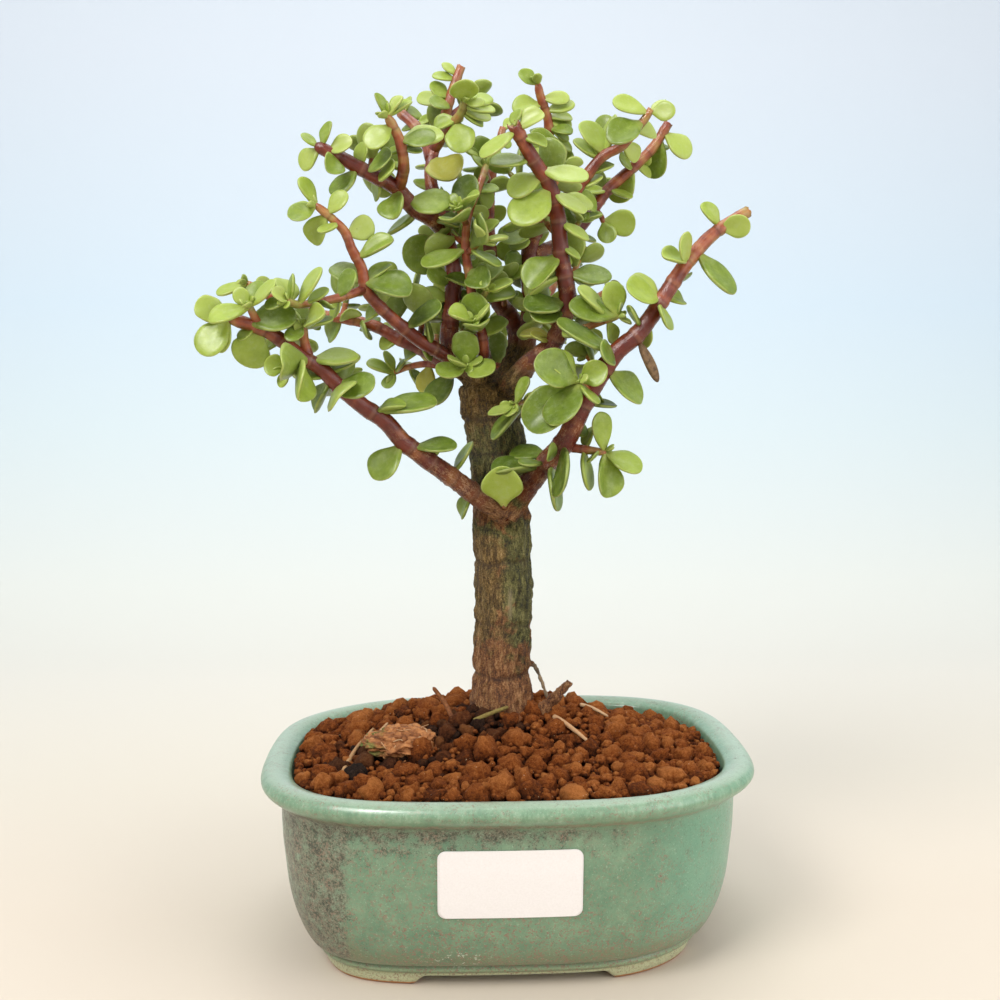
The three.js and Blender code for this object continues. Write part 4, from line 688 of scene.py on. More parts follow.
    "right_upper": Limb("branch_right", (2.4, 1.2), [
        (11, 10, 236), (16, 8, 241), (22, 6, 245), (31, 3, 256), (37, 1, 259), (44, -2, 267), (46, -3, 270)
    ], [
        (97, -175, 20, 12.5, -55, 0.6), (98, -20, 0, 8.5, 90), (100, 20, 35, 7, 20, 0.6),
        (91, -160, -30, 14.5, -55), (60, 60, 70, 14.5, -30, 0.6), (59, 155, 60, 13.5, -30),
        (55, 165, 40, 11, -35, 0.6), (84, 40, 10, 9.5, 55), (72, 40, -20, 8.5, 90), (30, 35, -25, 10.5, 70),
        (31, -20, 25, 10, 45, 0.6), (44, 20, 20, 10, 30, 0.6), (55, 95, 40, 8, 35, 0.6)
    ]),
    "right_lower": Limb("branch_right", (2.5, 1.6), [
        (9, 13, 226), (17, 18, 229), (25, 20, 235), (35, 22, 248), (45, 22, 257), (51, 22, 263),
        (56, 21, 271)
    ], [
        (92, -125, -75, 14.5, -5), (95, -5, -40, 12.5, 50), (72, -160, 15, 9, -60),
        (72, -145, -60, 13.5, -30), (74, 20, -35, 7, 65), (84, 125, -40, 6.5, -130, 0.8),
        (85, 40, 15, 8.5, 40, 0.6), (55, -155, -10, 9.5, -40, 0.6), (29, 140, 35, 9, -30),
        (56, 40, 20, 9.5, 40, 0.6)
    ]),
    "right_lower_twig": Limb("branch_right", (1, 0.9), [
        (30, 19, 242), (32, 15, 239), (33, 13, 236)
    ], [
        (95, -10, -5, 11, 100, 0.8), (99, 0, -75, 8, 100, 0.8)
    ]),
    "centre_back": Limb("branch_centre_back", (3.8, 1.2), [
        (0, 12, 182), (4, 16, 195), (3, 18, 203), (-3, 22, 212), (-5, 27, 229), (-5, 31, 246), (-3, 34, 261),
        (0, 36, 272)
    ], [
        (99, 20, 40, 7, 35), (98, -45, -65, 7, 10), (87, 15, 5, 7.5, 80), (72, 155, 15, 7.5, -70),
        (70, -35, -25, 7.5, 85, 0.85), (53, 165, 20, 7.5, -65), (53, -20, -15, 8.5, 90, 0.85),
        (53, 60, 60, 9, -10), (35, -20, 20, 8.5, 85), (36, 145, 30, 8.5, -40), (24, 55, 55, 9, -5)
    ]),
    "behind_left": Limb("branch_behind_left", (2.6, 1.2), [
        (-10, 10, 183), (-20, 12, 189), (-29, 14, 194), (-36, 15, 197), (-43, 16, 201), (-49, 16, 203),
        (-60, 16, 205), (-69, 15, 207), (-79, 13, 211), (-87, 12, 216)
    ], [
        (56, -100, 40, 8, -160, 1), (45, 150, 45, 11, -45), (60, 150, -45, 11, -85), (35, -165, -10, 8, -55),
        (99, -175, -20, 11, -35, 0.6), (94, 165, -5, 8, -50), (89, 135, 55, 7.5, -15), (84, 35, 45, 7.5, 20),
        (76, 130, 35, 8, -5, 0.6), (52, 60, -45, 9.5, 100), (76, 35, -45, 9.5, 70, 0.6),
        (26, 140, -20, 8.5, -65)
    ]),
    "short_left": Limb("branch_short_left", (1.7, 1), [
        (-9, 10, 179), (-17, 18, 186), (-26, 24, 189), (-34, 29, 188), (-39, 32, 186)
    ], [
        (100, -165, 15, 11, -35, 0.6), (100, 180, 65, 8.5, -40, 0.6), (99, -10, 50, 8, 35, 0.6),
        (100, -150, -55, 7, -30), (84, 135, 45, 8.5, 5, 0.6), (61, 115, -65, 10.5, -130),
        (31, -135, -55, 15, -5), (82, 60, -50, 10.5, 90, 0.6), (61, 115, 40, 11.5, 20, 0.6)
    ]),
    "back_left": Limb("branch_back_left", (2.7, 1.4),
        [(-5, 14, 183), (-9, 30, 199), (-16, 46, 215), (-21, 58, 230)],
        pairs=Pairs(30, 10.5, (14, 8), 21)),
    "back_left_fork": Limb("branch_back_left", (1.7, 1.1),
        [(-11, 35, 204), (-25, 43, 210), (-40, 48, 220)],
        pairs=Pairs(25, 10, (13, 8), 22)),
    "back_right": Limb("branch_back_right", (2.7, 1.4),
        [(1, 14, 181), (8, 32, 198), (16, 48, 212), (24, 60, 228)],
        pairs=Pairs(30, 10.5, (14, 8), 23)),
    "back_right_fork": Limb("branch_back_right", (1.7, 1.1),
        [(10, 37, 202), (24, 44, 208), (40, 47, 217)],
        pairs=Pairs(25, 10, (13, 8), 24)),
    "back_middle": Limb("branch_back_middle", (2.4, 1.2),
        [(-3, 16, 172), (-2, 38, 184), (0, 56, 194), (3, 72, 206)],
        pairs=Pairs(32, 10.5, (14, 8), 25)),
    "back_middle_fork": Limb("branch_back_middle", (1.5, 1),
        [(-1, 46, 189), (-12, 58, 192), (-22, 68, 200)],
        pairs=Pairs(35, 10, (12, 8), 26)),
}
STUBS = {  # length of each limb that belongs to the trunk's own piece
    "low_left": 11, "low_right": 11, "tuft_left": 5, "tuft_right": 9, "front_shoot": 12,
    "front_right": 14, "mid_left": 16, "upright": 23, "right_main": 20, "centre_back": 24,
    "behind_left": 16, "short_left": 13, "back_left": 20, "back_right": 24, "back_middle": 20,
}

# Short twigs that fill the crown from within, each with its own pairs of leaves: the limb that a twig grows
# from, its place along it (percent), its bearing from +X and its rise (degrees), and its length.
FILL_TWIGS = (
    ("upright", 30, 60, 35, 17), ("upright", 40, 100, 30, 17), ("upright", 55, 35, 30, 16),
    ("upright", 62, 150, 25, 15), ("upright", 74, 75, 40, 14), ("upright", 84, 20, 35, 12),
    ("centre_back", 38, 200, 35, 18), ("centre_back", 45, 330, 35, 18), ("centre_back", 58, 160, 30, 16),
    ("centre_back", 64, 20, 30, 16), ("centre_back", 78, 250, 30, 13), ("right_main", 42, 170, 30, 17),
    ("right_main", 60, 60, 30, 16), ("right_main", 82, 110, 35, 16), ("right_main", 70, 250, 20, 15),
    ("right_top", 20, 170, 35, 15), ("right_top", 42, 60, 30, 14), ("right_top", 60, 200, 30, 12),
    ("right_upper", 25, 95, 40, 15), ("right_upper", 50, 60, 35, 14), ("right_upper", 72, 100, 40, 12),
    ("right_lower", 35, 70, 40, 14), ("right_lower", 60, 100, 35, 13), ("front_right", 45, 65, 25, 15),
    ("front_right", 60, 110, 25, 15), ("front_right", 75, 70, 30, 13), ("front_right", 30, 130, 20, 14),
    ("front_shoot", 40, 80, 30, 12), ("front_shoot", 62, 120, 25, 11), ("upper_left", 25, 80, 35, 15),
    ("upper_left", 45, 120, 40, 13), ("upper_left", 65, 80, 45, 11), ("mid_left", 30, 85, 40, 15),
    ("mid_left", 45, 120, 35, 13), ("behind_left", 35, 100, 40, 14), ("behind_left", 60, 80, 40, 12),
    ("low_left", 70, 100, 35, 12), ("low_left", 82, 80, 30, 11), ("low_left", 60, 110, 25, 12),
    ("low_right", 45, 110, 20, 12), ("front_right_side", 60, 90, 35, 9), ("front_shoot", 24, 250, 15, 8),
    ("front_shoot", 36, 300, 20, 9), ("front_shoot", 50, 235, 25, 9), ("front_shoot", 58, 310, 20, 8),
    ("front_shoot", 70, 245, 30, 8), ("front_shoot", 82, 290, 30, 7), ("upright", 26, 300, 25, 12),
    ("upright", 38, 230, 20, 11), ("upright", 48, 290, 20, 11), ("upright", 66, 300, 20, 10),
    ("centre_back", 30, 270, 30, 15), ("right_main", 30, 300, 25, 14), ("right_main", 50, 280, 25, 14),
    ("front_right", 40, 190, 20, 10), ("front_right", 52, 200, 15, 10), ("front_right", 66, 175, 25, 10),
    ("right_top", 30, 260, 30, 12), ("mid_left", 15, 60, 40, 13), ("mid_left", 22, 130, 45, 12),
    ("upper_left", 12, 250, 20, 9), ("behind_left", 20, 80, 45, 14), ("right_lower", 20, 300, 25, 11),
)
FILL_PAIRS = (34, 5.4, (12.5, 8.5))
FILL_RADII = (1.15, 0.85)
FILL_SEED = 300
FILL_BEND = 0.12  # how far a twig turns up at its tip, as a share of its length

CURVES = {name: Curve(limb.path) for name, limb in LIMBS.items()}
TRUNK_CURVE = Curve(TRUNK_PATH)


def fill_twigs():
    """The short twigs as limbs of their own."""
    twigs = {}
    for k, (parent, percent, bearing, rise, length) in enumerate(FILL_TWIGS):
        way = heading(bearing, rise)
        foot = CURVES[parent].at(percent / 100)
        path = [foot, foot + 0.5 * length * way, foot + length * way + FILL_BEND * length * UP]
        pairs = Pairs(*FILL_PAIRS, FILL_SEED + k)
        twigs[f"fill_twig_{k}"] = Limb(LIMBS[parent].node, FILL_RADII, path, pairs=pairs)
    return twigs


# ---------------------------------------------------------------- where the leaves grow
THIN_STEM = 1.6  # leaves start on the axis of stems up to this radius
LEAF_FOOT = 0.8  # and in thicker stems this share of the rest out from it
LEAF_CLEAR = 0.35  # air kept between leaves
BLADE_START = 0.3  # share of a leaf that counts as stalk when it is bent clear
BLADE_MIDDLE = 0.53
STALK = 0.45  # length of stalk outside the stem that may lie close to it
ROOT_MARGIN = 2.5  # nearest that a leaf is rooted to the end of a stub on the trunk
TWIN_REACH = 3  # leaves rooted nearer than this are a pair, whose stalks may touch
TWIN_STALK = 0.4
QUARTER = math.pi / 2

# Ways to bend a leaf clear of its neighbours, the gentlest first: (towards the back, upwards).
BENDS = (
    (0, 0), (-0.2, 0), (0.2, 0), (-0.4, 0), (0.4, 0), (0, 0.25), (0, -0.25), (-0.65, 0), (0.65, 0),
    (-0.4, 0.3), (0.4, 0.3), (-0.4, -0.3), (0.4, -0.3), (-1, 0), (1, 0), (0, 0.5), (0, -0.5), (-0.8, 0.5),
    (0.8, 0.5), (-0.8, -0.5), (0.8, -0.5), (-1.6, 0), (1.6, 0), (-1.2, 0.8), (1.2, 0.8), (-1.2, -0.8),
    (1.2, -0.8),
)
SHRINKS = (1, 0.85, 0.7, 0.55)


@dataclass
class Leaf:
    """A leaf: the limb and place it grows from, the line it grows along, the way its face looks, its size."""

    limb: str
    percent: float
    root: np.ndarray
    along: np.ndarray
    face: np.ndarray
    length: float
    width: float
    stem: np.ndarray
    stem_radius: float

    def squared(self):
        """The same leaf with its axes made square, and with points spread over its blade."""
        along = unit(self.along)
        face = unit(self.face - along * (self.face @ along))
        leaf = replace(self, along=along, face=face)
        leaf.across = np.cross(face, along)
        leaf.middle = leaf.root + BLADE_MIDDLE * leaf.length * along
        leaf.points = leaf.blade_points()
        return leaf

    def blade_points(self):
        leaving = math.sqrt(1 - min(0.75, (self.along @ self.stem) ** 2))
        bare = (self.stem_radius + 0.5 * thickness(self.length) + STALK) / leaving
        start = min(0.75, max(BLADE_START, bare / self.length))
        rows = max(3, math.ceil(self.length / 3.2))
        columns = max(2, math.ceil(self.width / 3))
        s = np.repeat(start + (0.97 - start) * np.arange(rows + 1) / rows, columns + 1)
        side = np.tile(2 * np.arange(columns + 1) / columns - 1, rows + 1)
        w = 0.5 * self.width * blade_half(s) * side
        return self.root + np.outer(s * self.length, self.along) + np.outer(w, self.across)


def thickness(length):
    return 0.11 * length + 0.75


def blade_half(s):
    """Half width of a blade at a share s of its length, before it is drawn finely."""
    t = np.clip(s, 0, 1) ** 1.25
    return np.sqrt(np.maximum(0, 4 * t * (1 - t))) * (0.55 + 0.45 * smooth(0, 0.5, s))


def first_length(name):
    return STUBS[name] + ROOT_MARGIN if name in STUBS else 0


def new_leaf(name, percent, along, face, length, width):
    curve, radii = CURVES[name], LIMBS[name].radii
    root = curve.at(min(percent / 100, 1 - 0.9 / curve.length))
    stem = curve.tangent(min(1, percent / 100))
    radius = radii[0] + (radii[1] - radii[0]) * percent / 100
    return Leaf(name, percent, root, along, face, length, width, stem, radius)


def hand_leaf(name, place, bearing, rise, length, roll, ratio=USUAL_WIDTH):
    """A leaf from one row of a limb's table."""
    along, turn = heading(bearing, rise), math.radians(roll)
    upmost = UP - along * along[2]
    if np.linalg.norm(upmost) < 0.15:
        upmost = np.array([0.0, -1.0, 0.0]) + along * along[1]
    upmost = unit(upmost)
    face = upmost * math.cos(turn) + np.cross(along, upmost) * math.sin(turn)
    percent = max(place, 100 * first_length(name) / CURVES[name].length)
    return new_leaf(name, percent, along, face, length, length * ratio)


def leaning_out(stem, level, turn, rise):
    """Out from a stem at a turn about it, and the same way raised along the stem."""
    out = level * math.cos(turn) + np.cross(level, stem) * math.sin(turn)
    return out, out * math.cos(rise) + stem * math.sin(rise)


def paired_leaves(name, pairs):
    """Opposite pairs of leaves, each pair turned a quarter from the last and larger towards the foot."""
    curve, draw = CURVES[name], seeded(pairs.seed)
    length = curve.length
    first = max(pairs.start / 100 * length, first_length(name))
    count = math.floor((length - first) / pairs.step)
    large, small = pairs.lengths
    leaves = []
    for k in range(count + 1):
        place = length - k * pairs.step
        stem = curve.tangent(min(1, place / length))
        level = unit(np.cross(stem, UP))
        turn = QUARTER * k + 0.5 * (draw() - 0.5)
        for half in (0, math.pi):
            a = turn + half + 0.35 * (draw() - 0.5)
            _, along = leaning_out(stem, level, a, 0.6 + 0.5 * (draw() - 0.5))
            size = small + (large - small) * min(1, k / count)
            leaf_length = size * (0.85 + 0.3 * draw())
            width = leaf_length * (0.7 + 0.12 * draw())
            leaves.append(new_leaf(name, 100 * place / length, along, stem + UP * 0.5, leaf_length, width))
    return leaves


def in_blade(points, leaf, clear):
    """Whether each point lies in a leaf's blade, taken as a flat ellipsoid grown by clear."""
    out = points - leaf.middle
    along = out @ leaf.along / (0.49 * leaf.length + clear)
    across = out @ leaf.across / (0.53 * leaf.width + clear)
    over = out @ leaf.face / (0.5 * thickness(leaf.length) + clear)
    return along**2 + across**2 + over**2 < 1


def leaves_cross(a, b):
    twins = np.linalg.norm(a.root - b.root) < TWIN_REACH
    clear = 0 if twins else LEAF_CLEAR
    share = TWIN_STALK if twins else 0
    return any(in_blade(one.points[math.ceil(share * len(one.points)):], other, clear).any()
               for one, other in ((a, b), (b, a)))


class Stems:
    """Balls strung along the trunk and every stem, which a blade keeps clear of."""

    def __init__(self):
        strings = [(TRUNK_CURVE, (TRUNK_RADIUS + 0.6, TRUNK_RADIUS + 0.6))]
        strings += [(CURVES[name], limb.radii) for name, limb in LIMBS.items()]
        places, radii = [], []
        for curve, ends in strings:
            count = math.ceil(curve.length / 2)
            share = np.arange(count + 1) / count
            places.append(curve.at(share))
            radii.append(taper(ends, share))
        self.places, self.radii = np.vstack(places), np.concatenate(radii)

    def hit(self, leaf):
        half = 0.5 * thickness(leaf.length) + LEAF_CLEAR
        away = np.linalg.norm(self.places - leaf.middle, axis=1)
        near = away <= 0.5 * leaf.length + self.radii + half
        gaps = np.linalg.norm(leaf.points[:, None] - self.places[near][None], axis=2)
        return (gaps < self.radii[near] + half).any()


def place_leaf(leaf, placed, stems):
    """The leaf bent clear of all others, or None where it can't be."""
    for shrink in SHRINKS:
        for back, up in BENDS:
            bent = replace(leaf, along=leaf.along + np.array([0, back, up]), length=leaf.length * shrink,
                           width=leaf.width * shrink).squared()
            if stems.hit(bent):
                continue
            near = (o for o in placed
                    if np.linalg.norm(o.middle - bent.middle) <= 0.5 * (o.length + bent.length) + LEAF_CLEAR)
            if not any(leaves_cross(bent, other) for other in near):
                return bent
    return None


def grow_leaves():
    """Every leaf: those of the limbs first, and then those of the short twigs that find room."""
    stems, placed = Stems(), []
    for name, limb in LIMBS.items():
        if limb.pairs:
            wanted = paired_leaves(name, limb.pairs)
        else:
            wanted = [hand_leaf(name, *row) for row in limb.leaves]
        for leaf in wanted:
            clear = leaf.squared() if name == "crotch_stalk" else place_leaf(leaf, placed, stems)
            if clear:
                placed.append(clear)
    for name, twig in fill_twigs().items():
        curve = Curve(twig.path)
        line = curve.at(np.linspace(0.25, 1, 12))
        if any(in_blade(line, leaf, twig.radii[0]).any() for leaf in placed):
            continue
        LIMBS[name], CURVES[name] = twig, curve
        kept = [place_leaf(leaf, placed, stems) for leaf in paired_leaves(name, twig.pairs)]
        kept = [leaf for leaf in kept if leaf]
        if len(kept) < 2:
            del LIMBS[name], CURVES[name]
            continue
        placed += kept
    return placed


# ---------------------------------------------------------------- node materials
class Value:
    """What a node gives out. It can be added to, multiplied, stepped, coloured and painted over."""

    def __init__(self, look, socket):
        self.look, self.socket = look, socket

    def maths(self, operation, other):
        return self.look.made("ShaderNodeMath", 0, {0: self, 1: other}, operation=operation)

    def __add__(self, other):
        return self.maths("ADD", other)

    def __sub__(self, other):
        return self.maths("SUBTRACT", other)

    def __mul__(self, other):
        return self.maths("MULTIPLY", other)

    __rmul__ = __mul__

    def ragged(self, unevenness, gain):
        """The value made uneven by noise that lies about 0.5."""
        return self + gain * (unevenness - 0.5)

    def crisp(self, gain):
        """Noise with its differences from 0.5 made gain times as great."""
        return gain * (self - 0.5) + 0.5

    def step(self, low, high, start=0.0, end=1.0):
        """The value taken smoothly from low..high to start..end, and held there."""
        ends = {"From Min": low, "From Max": high, "To Min": start, "To Max": end}
        return self.look.made("ShaderNodeMapRange", "Result", {"Value": self, **ends},
                              interpolation_type="SMOOTHSTEP")

    def ramp(self, *stops):
        """A colour for each value: stops are (place, (red, green, blue))."""
        made = self.look.made("ShaderNodeValToRGB", "Color", {"Fac": self})
        elements = made.socket.node.color_ramp.elements
        while len(elements) < len(stops):
            elements.new(0.5)
        for element, (place, colour) in zip(elements, stops):
            element.position = place
            element.color = (*colour, 1)
        return made

    def painted(self, share, colour):
        """The colour with another laid over it in the share given."""
        return self.look.made("ShaderNodeMix", 2, {"Factor": share, 6: self, 7: colour}, data_type="RGBA")


class Look:
    """A node material, with short ways to make the nodes that its colour, roughness and bump need."""

    def __init__(self, name, roughness, **sockets):
        self.material = bpy.data.materials.new(name)
        self.material.use_nodes = True
        self.tree = self.material.node_tree
        self.surface = self.tree.nodes["Principled BSDF"].inputs
        self.surface["Roughness"].default_value = roughness
        for socket, value in sockets.items():
            self.surface[socket.replace("_", " ")].default_value = value
        self.place = self.made("ShaderNodeTexCoord", "Object", {})

    def made(self, kind, output, inputs, **settings):
        """What a new node gives out at one of its outputs."""
        node = self.tree.nodes.new(kind)
        for key, value in settings.items():
            setattr(node, key, value)
        for socket, value in inputs.items():
            self.link(value, node.inputs[socket])
        return Value(self, node.outputs[output])

    def link(self, value, socket):
        """Gives a socket a node's value, a number, a list of numbers or, as a tuple, a colour."""
        if isinstance(value, Value):
            self.tree.links.new(value.socket, socket)
        else:
            socket.default_value = (*value, 1) if isinstance(value, tuple) else value

    def __getitem__(self, name):
        """The value that each point of the mesh holds under a name."""
        return self.made("ShaderNodeAttribute", "Fac", {}, attribute_name=name)

    def spread(self, scales, place=None):
        """Coordinates in millimetres times a scale along each axis."""
        factors = {0: place or self.place, 1: [scale / MM for scale in scales]}
        return self.made("ShaderNodeVectorMath", 0, factors, operation="MULTIPLY")

    def noise(self, size, detail=2, roughness=0.5, place=None, stretch=(1, 1, 1)):
        """Noise from 0 to 1 with features of about the given size in millimetres."""
        where = self.spread([1 / (size * s) for s in stretch], place)
        return self.made("ShaderNodeTexNoise", "Fac", {"Vector": where, "Scale": 1, "Detail": detail,
                                                       "Roughness": roughness})

    def cells(self, size):
        """Distance to the nearest of many scattered points, size millimetres apart or so."""
        where = self.spread([1 / size] * 3)
        return self.made("ShaderNodeTexVoronoi", "Distance", {"Vector": where, "Scale": 1})

    def relief(self, height, depth, strength):
        """Fine bumps, depth millimetres high where height goes from 0 to 1."""
        inputs = {"Distance": depth * MM, "Strength": strength, "Height": height}
        self.link(self.made("ShaderNodeBump", "Normal", inputs), self.surface["Normal"])

    def finish(self, colour, roughness=None):
        """Links the colour and the roughness, and gives the material back."""
        self.link(colour, self.surface["Base Color"])
        if roughness:
            self.link(roughness, self.surface["Roughness"])
        return self.material


def glaze_look():
    """Jade green glaze: brown and pink specks, a dark speckled band under the lip, one grey-brown corner."""
    look = Look("jade_glaze", 0.3, Coat_Weight=0.15, Coat_Roughness=0.12)
    soft, fine = look.noise(6, 4, 0.65), look.noise(1.0, 3, 0.7)
    body = (0.4 * look.noise(26, 3) + 0.4 * soft + 0.2 * fine).ramp(
        (0.34, (0.090, 0.198, 0.118)), (0.5, (0.155, 0.270, 0.165)), (0.66, (0.235, 0.345, 0.215)))
    body = body.painted(0.75 * look["blue"], (0.150, 0.350, 0.235))
    streaks = (0.6 * look.noise(2.2, 3, 0.6, stretch=(1, 1, 6)) + 0.4 * fine).ramp(
        (0.36, (0.150, 0.270, 0.170)), (0.5, (0.205, 0.345, 0.215)), (0.64, (0.320, 0.455, 0.310)))
    body = body.painted(0.65 * look["face"], streaks)
    # The lip's pale crest: partly thinner glaze on the edge and partly a painted highlight along it.
    body = body.painted(0.75 * look["pale_crest_highlight"], (0.390, 0.490, 0.370))
    body = body.painted(0.6 * look["inner"], (0.205, 0.400, 0.275))
    body = body.painted(look["olive"].ragged(soft, 1.1).step(0.15, 0.9, 0, 0.85), (0.165, 0.190, 0.095))
    # Painted shade: the grooves near the foot are darkened as though in shadow.
    body = body.painted(0.75 * look["groove"], (0.075, 0.150, 0.075))
    foot = look["foot"].ragged(fine, 0.7).ramp((0.2, (0.290, 0.400, 0.235)), (0.8, (0.500, 0.520, 0.310)))
    body = body.painted(0.9 * look["pale"], foot)
    pink = look["pink"].ragged(look.noise(1.7, 4, 0.75), 2.0).step(0.45, 1.0, 0, 0.8)
    body = body.painted(pink, (0.300, 0.200, 0.135))
    grey = look["grey"].ragged(look.noise(4, 5, 0.75), 3.0).step(0.15, 1.0)
    mottle = (0.45 * look.noise(3.0, 4, 0.7) + 0.55 * look.noise(0.8, 4, 0.8)).crisp(2.2).ramp(
        (0.32, (0.035, 0.033, 0.022)), (0.43, (0.100, 0.090, 0.060)), (0.52, (0.180, 0.165, 0.115)),
        (0.60, (0.130, 0.190, 0.125)), (0.76, (0.250, 0.340, 0.235)))
    body = body.painted(0.9 * grey, mottle)
    flecked = look["specks"].ragged(look.noise(8, 4, 0.7), 1.8).step(0.1, 0.9)
    flecks = look.noise(0.8, 3, 0.7).step(0.53, 0.58)
    body = body.painted(flecks * flecked * 0.85, (0.270, 0.150, 0.105))
    dark = look.noise(0.5, 3, 0.7).step(0.57, 0.63)
    body = body.painted(dark * (0.5 * grey + 0.3), (0.030, 0.052, 0.032))
    body = body.painted(0.35 * look.noise(0.6, 2, 0.6).step(0.62, 0.68), (0.42, 0.53, 0.40))
    body = body.painted(look["chips"] * look.noise(1.5, 3, 0.7).step(0.6, 0.64), (0.60, 0.66, 0.56))
    bare = (look["bare"] + 0.5 * look.noise(1.6, 3)).step(0.7, 1.0)
    body = body.painted(bare, (0.42, 0.19, 0.075))
    look.relief(look.noise(6, 2) + 0.2 * look.noise(0.8, 3), 0.22, 0.7)
    return look.finish(body, 0.5 * bare + 0.25 * fine + 0.12 * grey + 0.20)


def leaf_look():
    """Fleshy leaves: yellow-green when young, deeper green with age, painted shade at the back, thin pale
    edges that are partly a painted highlight, and dark specks.
    """
    look = Look("fleshy_leaf", 0.35, Specular_IOR_Level=0.35, Subsurface_Weight=0.1, Subsurface_Scale=0.001,
                Subsurface_Radius=(0.7, 1.0, 0.2))
    mottle, rim, dry = look.noise(4, 4, 0.65), look["rim"], look["dry"]
    # The green follows each leaf's tone: its age, and painted shade on the leaves at the back.
    green = look["tone"].ragged(mottle, 0.55).ramp(
        (0.0, (0.070, 0.118, 0.008)), (0.3, (0.175, 0.255, 0.024)), (0.6, (0.320, 0.420, 0.058)),
        (1.0, (0.420, 0.505, 0.125)))
    green = green.painted(look["gold"].ragged(mottle, 0.8).step(0.25, 1.1, 0, 0.7), (0.46, 0.400, 0.060))
    green = green.painted(look["along"].step(0.32, 0.0, 0, 0.6), (0.38, 0.41, 0.10))
    vein = look["vein"] * look.noise(1.2, 2).step(0.35, 0.6)
    green = green.painted(0.35 * vein, (0.40, 0.46, 0.14))
    green = green.painted(0.35 * look["under"], (0.185, 0.235, 0.065))
    # Pale rim: partly a paler edge, partly a painted highlight along the leaf's edge.
    green = green.painted(rim.step(0.68, 0.95, 0, 0.5), (0.46, 0.53, 0.15))
    edge = rim.step(0.88, 1.0) * look.noise(9, 2).step(0.45, 0.65, 0.0, 0.6)
    green = green.painted(edge, (0.26, 0.12, 0.05))
    spots = look.cells(1.6).step(0.12, 0.06) * look.noise(2.6, 1).step(0.56, 0.62)
    green = green.painted(0.55 * spots, (0.05, 0.07, 0.015))
    green = green.painted(look.noise(2.2, 5, 0.75).step(0.46, 0.70, 0, 0.2), (0.46, 0.53, 0.30))
    dried = look.noise(1.2, 4, 0.7).ramp((0.3, (0.050, 0.028, 0.014)), (0.7, (0.25, 0.150, 0.070)))
    look.relief(look.noise(2.2, 3, 0.6) + 0.25 * look.noise(0.35, 2), 0.12, 0.6)
    return look.finish(green.painted(dry, dried), 0.24 * look.noise(1.4, 3) + 0.35 * dry + 0.26)


def bark_colour(look, grain, patches):
    """Flaky brown bark with moss, rust, a pale streak and a dark scar."""
    bark = grain.ramp(
        (0.20, (0.012, 0.006, 0.001)), (0.36, (0.085, 0.046, 0.009)), (0.50, (0.205, 0.118, 0.024)),
        (0.64, (0.380, 0.232, 0.068)), (0.84, (0.680, 0.480, 0.220)))
    mossy = (look["moss"] + 0.8 * patches.crisp(1.6)).step(0.55, 1.0)
    moss = grain.ramp(
        (0.30, (0.014, 0.018, 0.004)), (0.48, (0.100, 0.108, 0.020)), (0.74, (0.300, 0.295, 0.095)))
    rusty = (look["rust"] + 0.9 * patches.crisp(2.0)).step(0.65, 0.95)
    rust = grain.ramp(
        (0.30, (0.080, 0.026, 0.008)), (0.50, (0.320, 0.110, 0.028)), (0.74, (0.620, 0.320, 0.130)))
    bark = bark.painted(0.85 * mossy, moss).painted(0.85 * rusty, rust)
    bark = bark.painted(0.7 * look["streak"], (0.46, 0.36, 0.22))
    return bark.painted(look["scar"], (0.080, 0.030, 0.024))


def skin_colour(look, youth, grain, patches, coarse, bands):
    """Stem skin: flaky and tan where it is old, then maroon, pink-brown, and tan-green at the tips; painted
    light and shade follow the way the light comes from.
    """
    sun = look["sun"]
    skin = youth.ragged(bands, 0.8).ragged(coarse, 0.35).ramp(
        (0.08, (0.270, 0.105, 0.026)), (0.22, (0.230, 0.062, 0.015)), (0.38, (0.100, 0.011, 0.004)),
        (0.58, (0.160, 0.022, 0.008)), (0.74, (0.330, 0.080, 0.028)), (0.88, (0.420, 0.205, 0.065)),
        (1.0, (0.320, 0.300, 0.070)))
    # On young stems the side turned from the light is painted olive-green, partly young skin's own green and
    # partly painted shade.
    skin = skin.painted(sun.step(0.0, -0.7) * youth.step(0.5, 0.85) * 0.7, (0.165, 0.150, 0.038))
    # Patches on the side facing the light are painted a lighter red: a painted highlight.
    skin = skin.painted(sun.step(0.3, 1.0) * patches.step(0.4, 0.65) * 0.3, (0.370, 0.110, 0.050))
    flaky = grain.step(0.52, 0.62) * (youth + 0.5 * bands).step(0.70, 0.46)
    return skin.painted(0.85 * flaky, (0.470, 0.255, 0.120))


def wood_look():
    """Bark on old limbs and stem skin on young ones, with dark rings, pale collars and cut ends."""
    look = Look("bark_and_stem", 0.5, Specular_IOR_Level=0.5)
    fibre = look.made("ShaderNodeAttribute", "Vector", {}, attribute_name="fibre")
    youth, patches = look["youth"], look.noise(5, 4, 0.65)
    strands, coarse = look.noise(0.7, 5, 0.75, fibre), look.noise(2.4, 4, 0.7, fibre)
    bands = look.noise(1.5, 2, 0.5, fibre, stretch=(7, 7, 1))
    grain = (0.35 * strands + 0.3 * coarse + 0.35 * look.noise(0.5, 4, 0.75)).crisp(2.9)
    bark = bark_colour(look, grain, patches)
    wood = bark.painted(youth.step(0.04, 0.18), skin_colour(look, youth, grain, patches, coarse, bands))
    wood = wood.painted(0.55 * look["ring"], (0.035, 0.014, 0.008))
    wood = wood.painted(0.28 * look["collar"], (0.420, 0.260, 0.150))
    cut = look.noise(0.7, 3, 0.6).ramp((0.35, (0.250, 0.110, 0.045)), (0.65, (0.560, 0.360, 0.190)))
    look.relief(grain * youth.step(0.1, 0.4, 1.8, 0.16) + 0.03 * look.noise(0.35, 2), 0.7, 1.0)
    return look.finish(wood.painted(look["cut"], cut), youth.step(0.1, 0.3, 0.5, 0.0) + 0.3 * strands + 0.05)


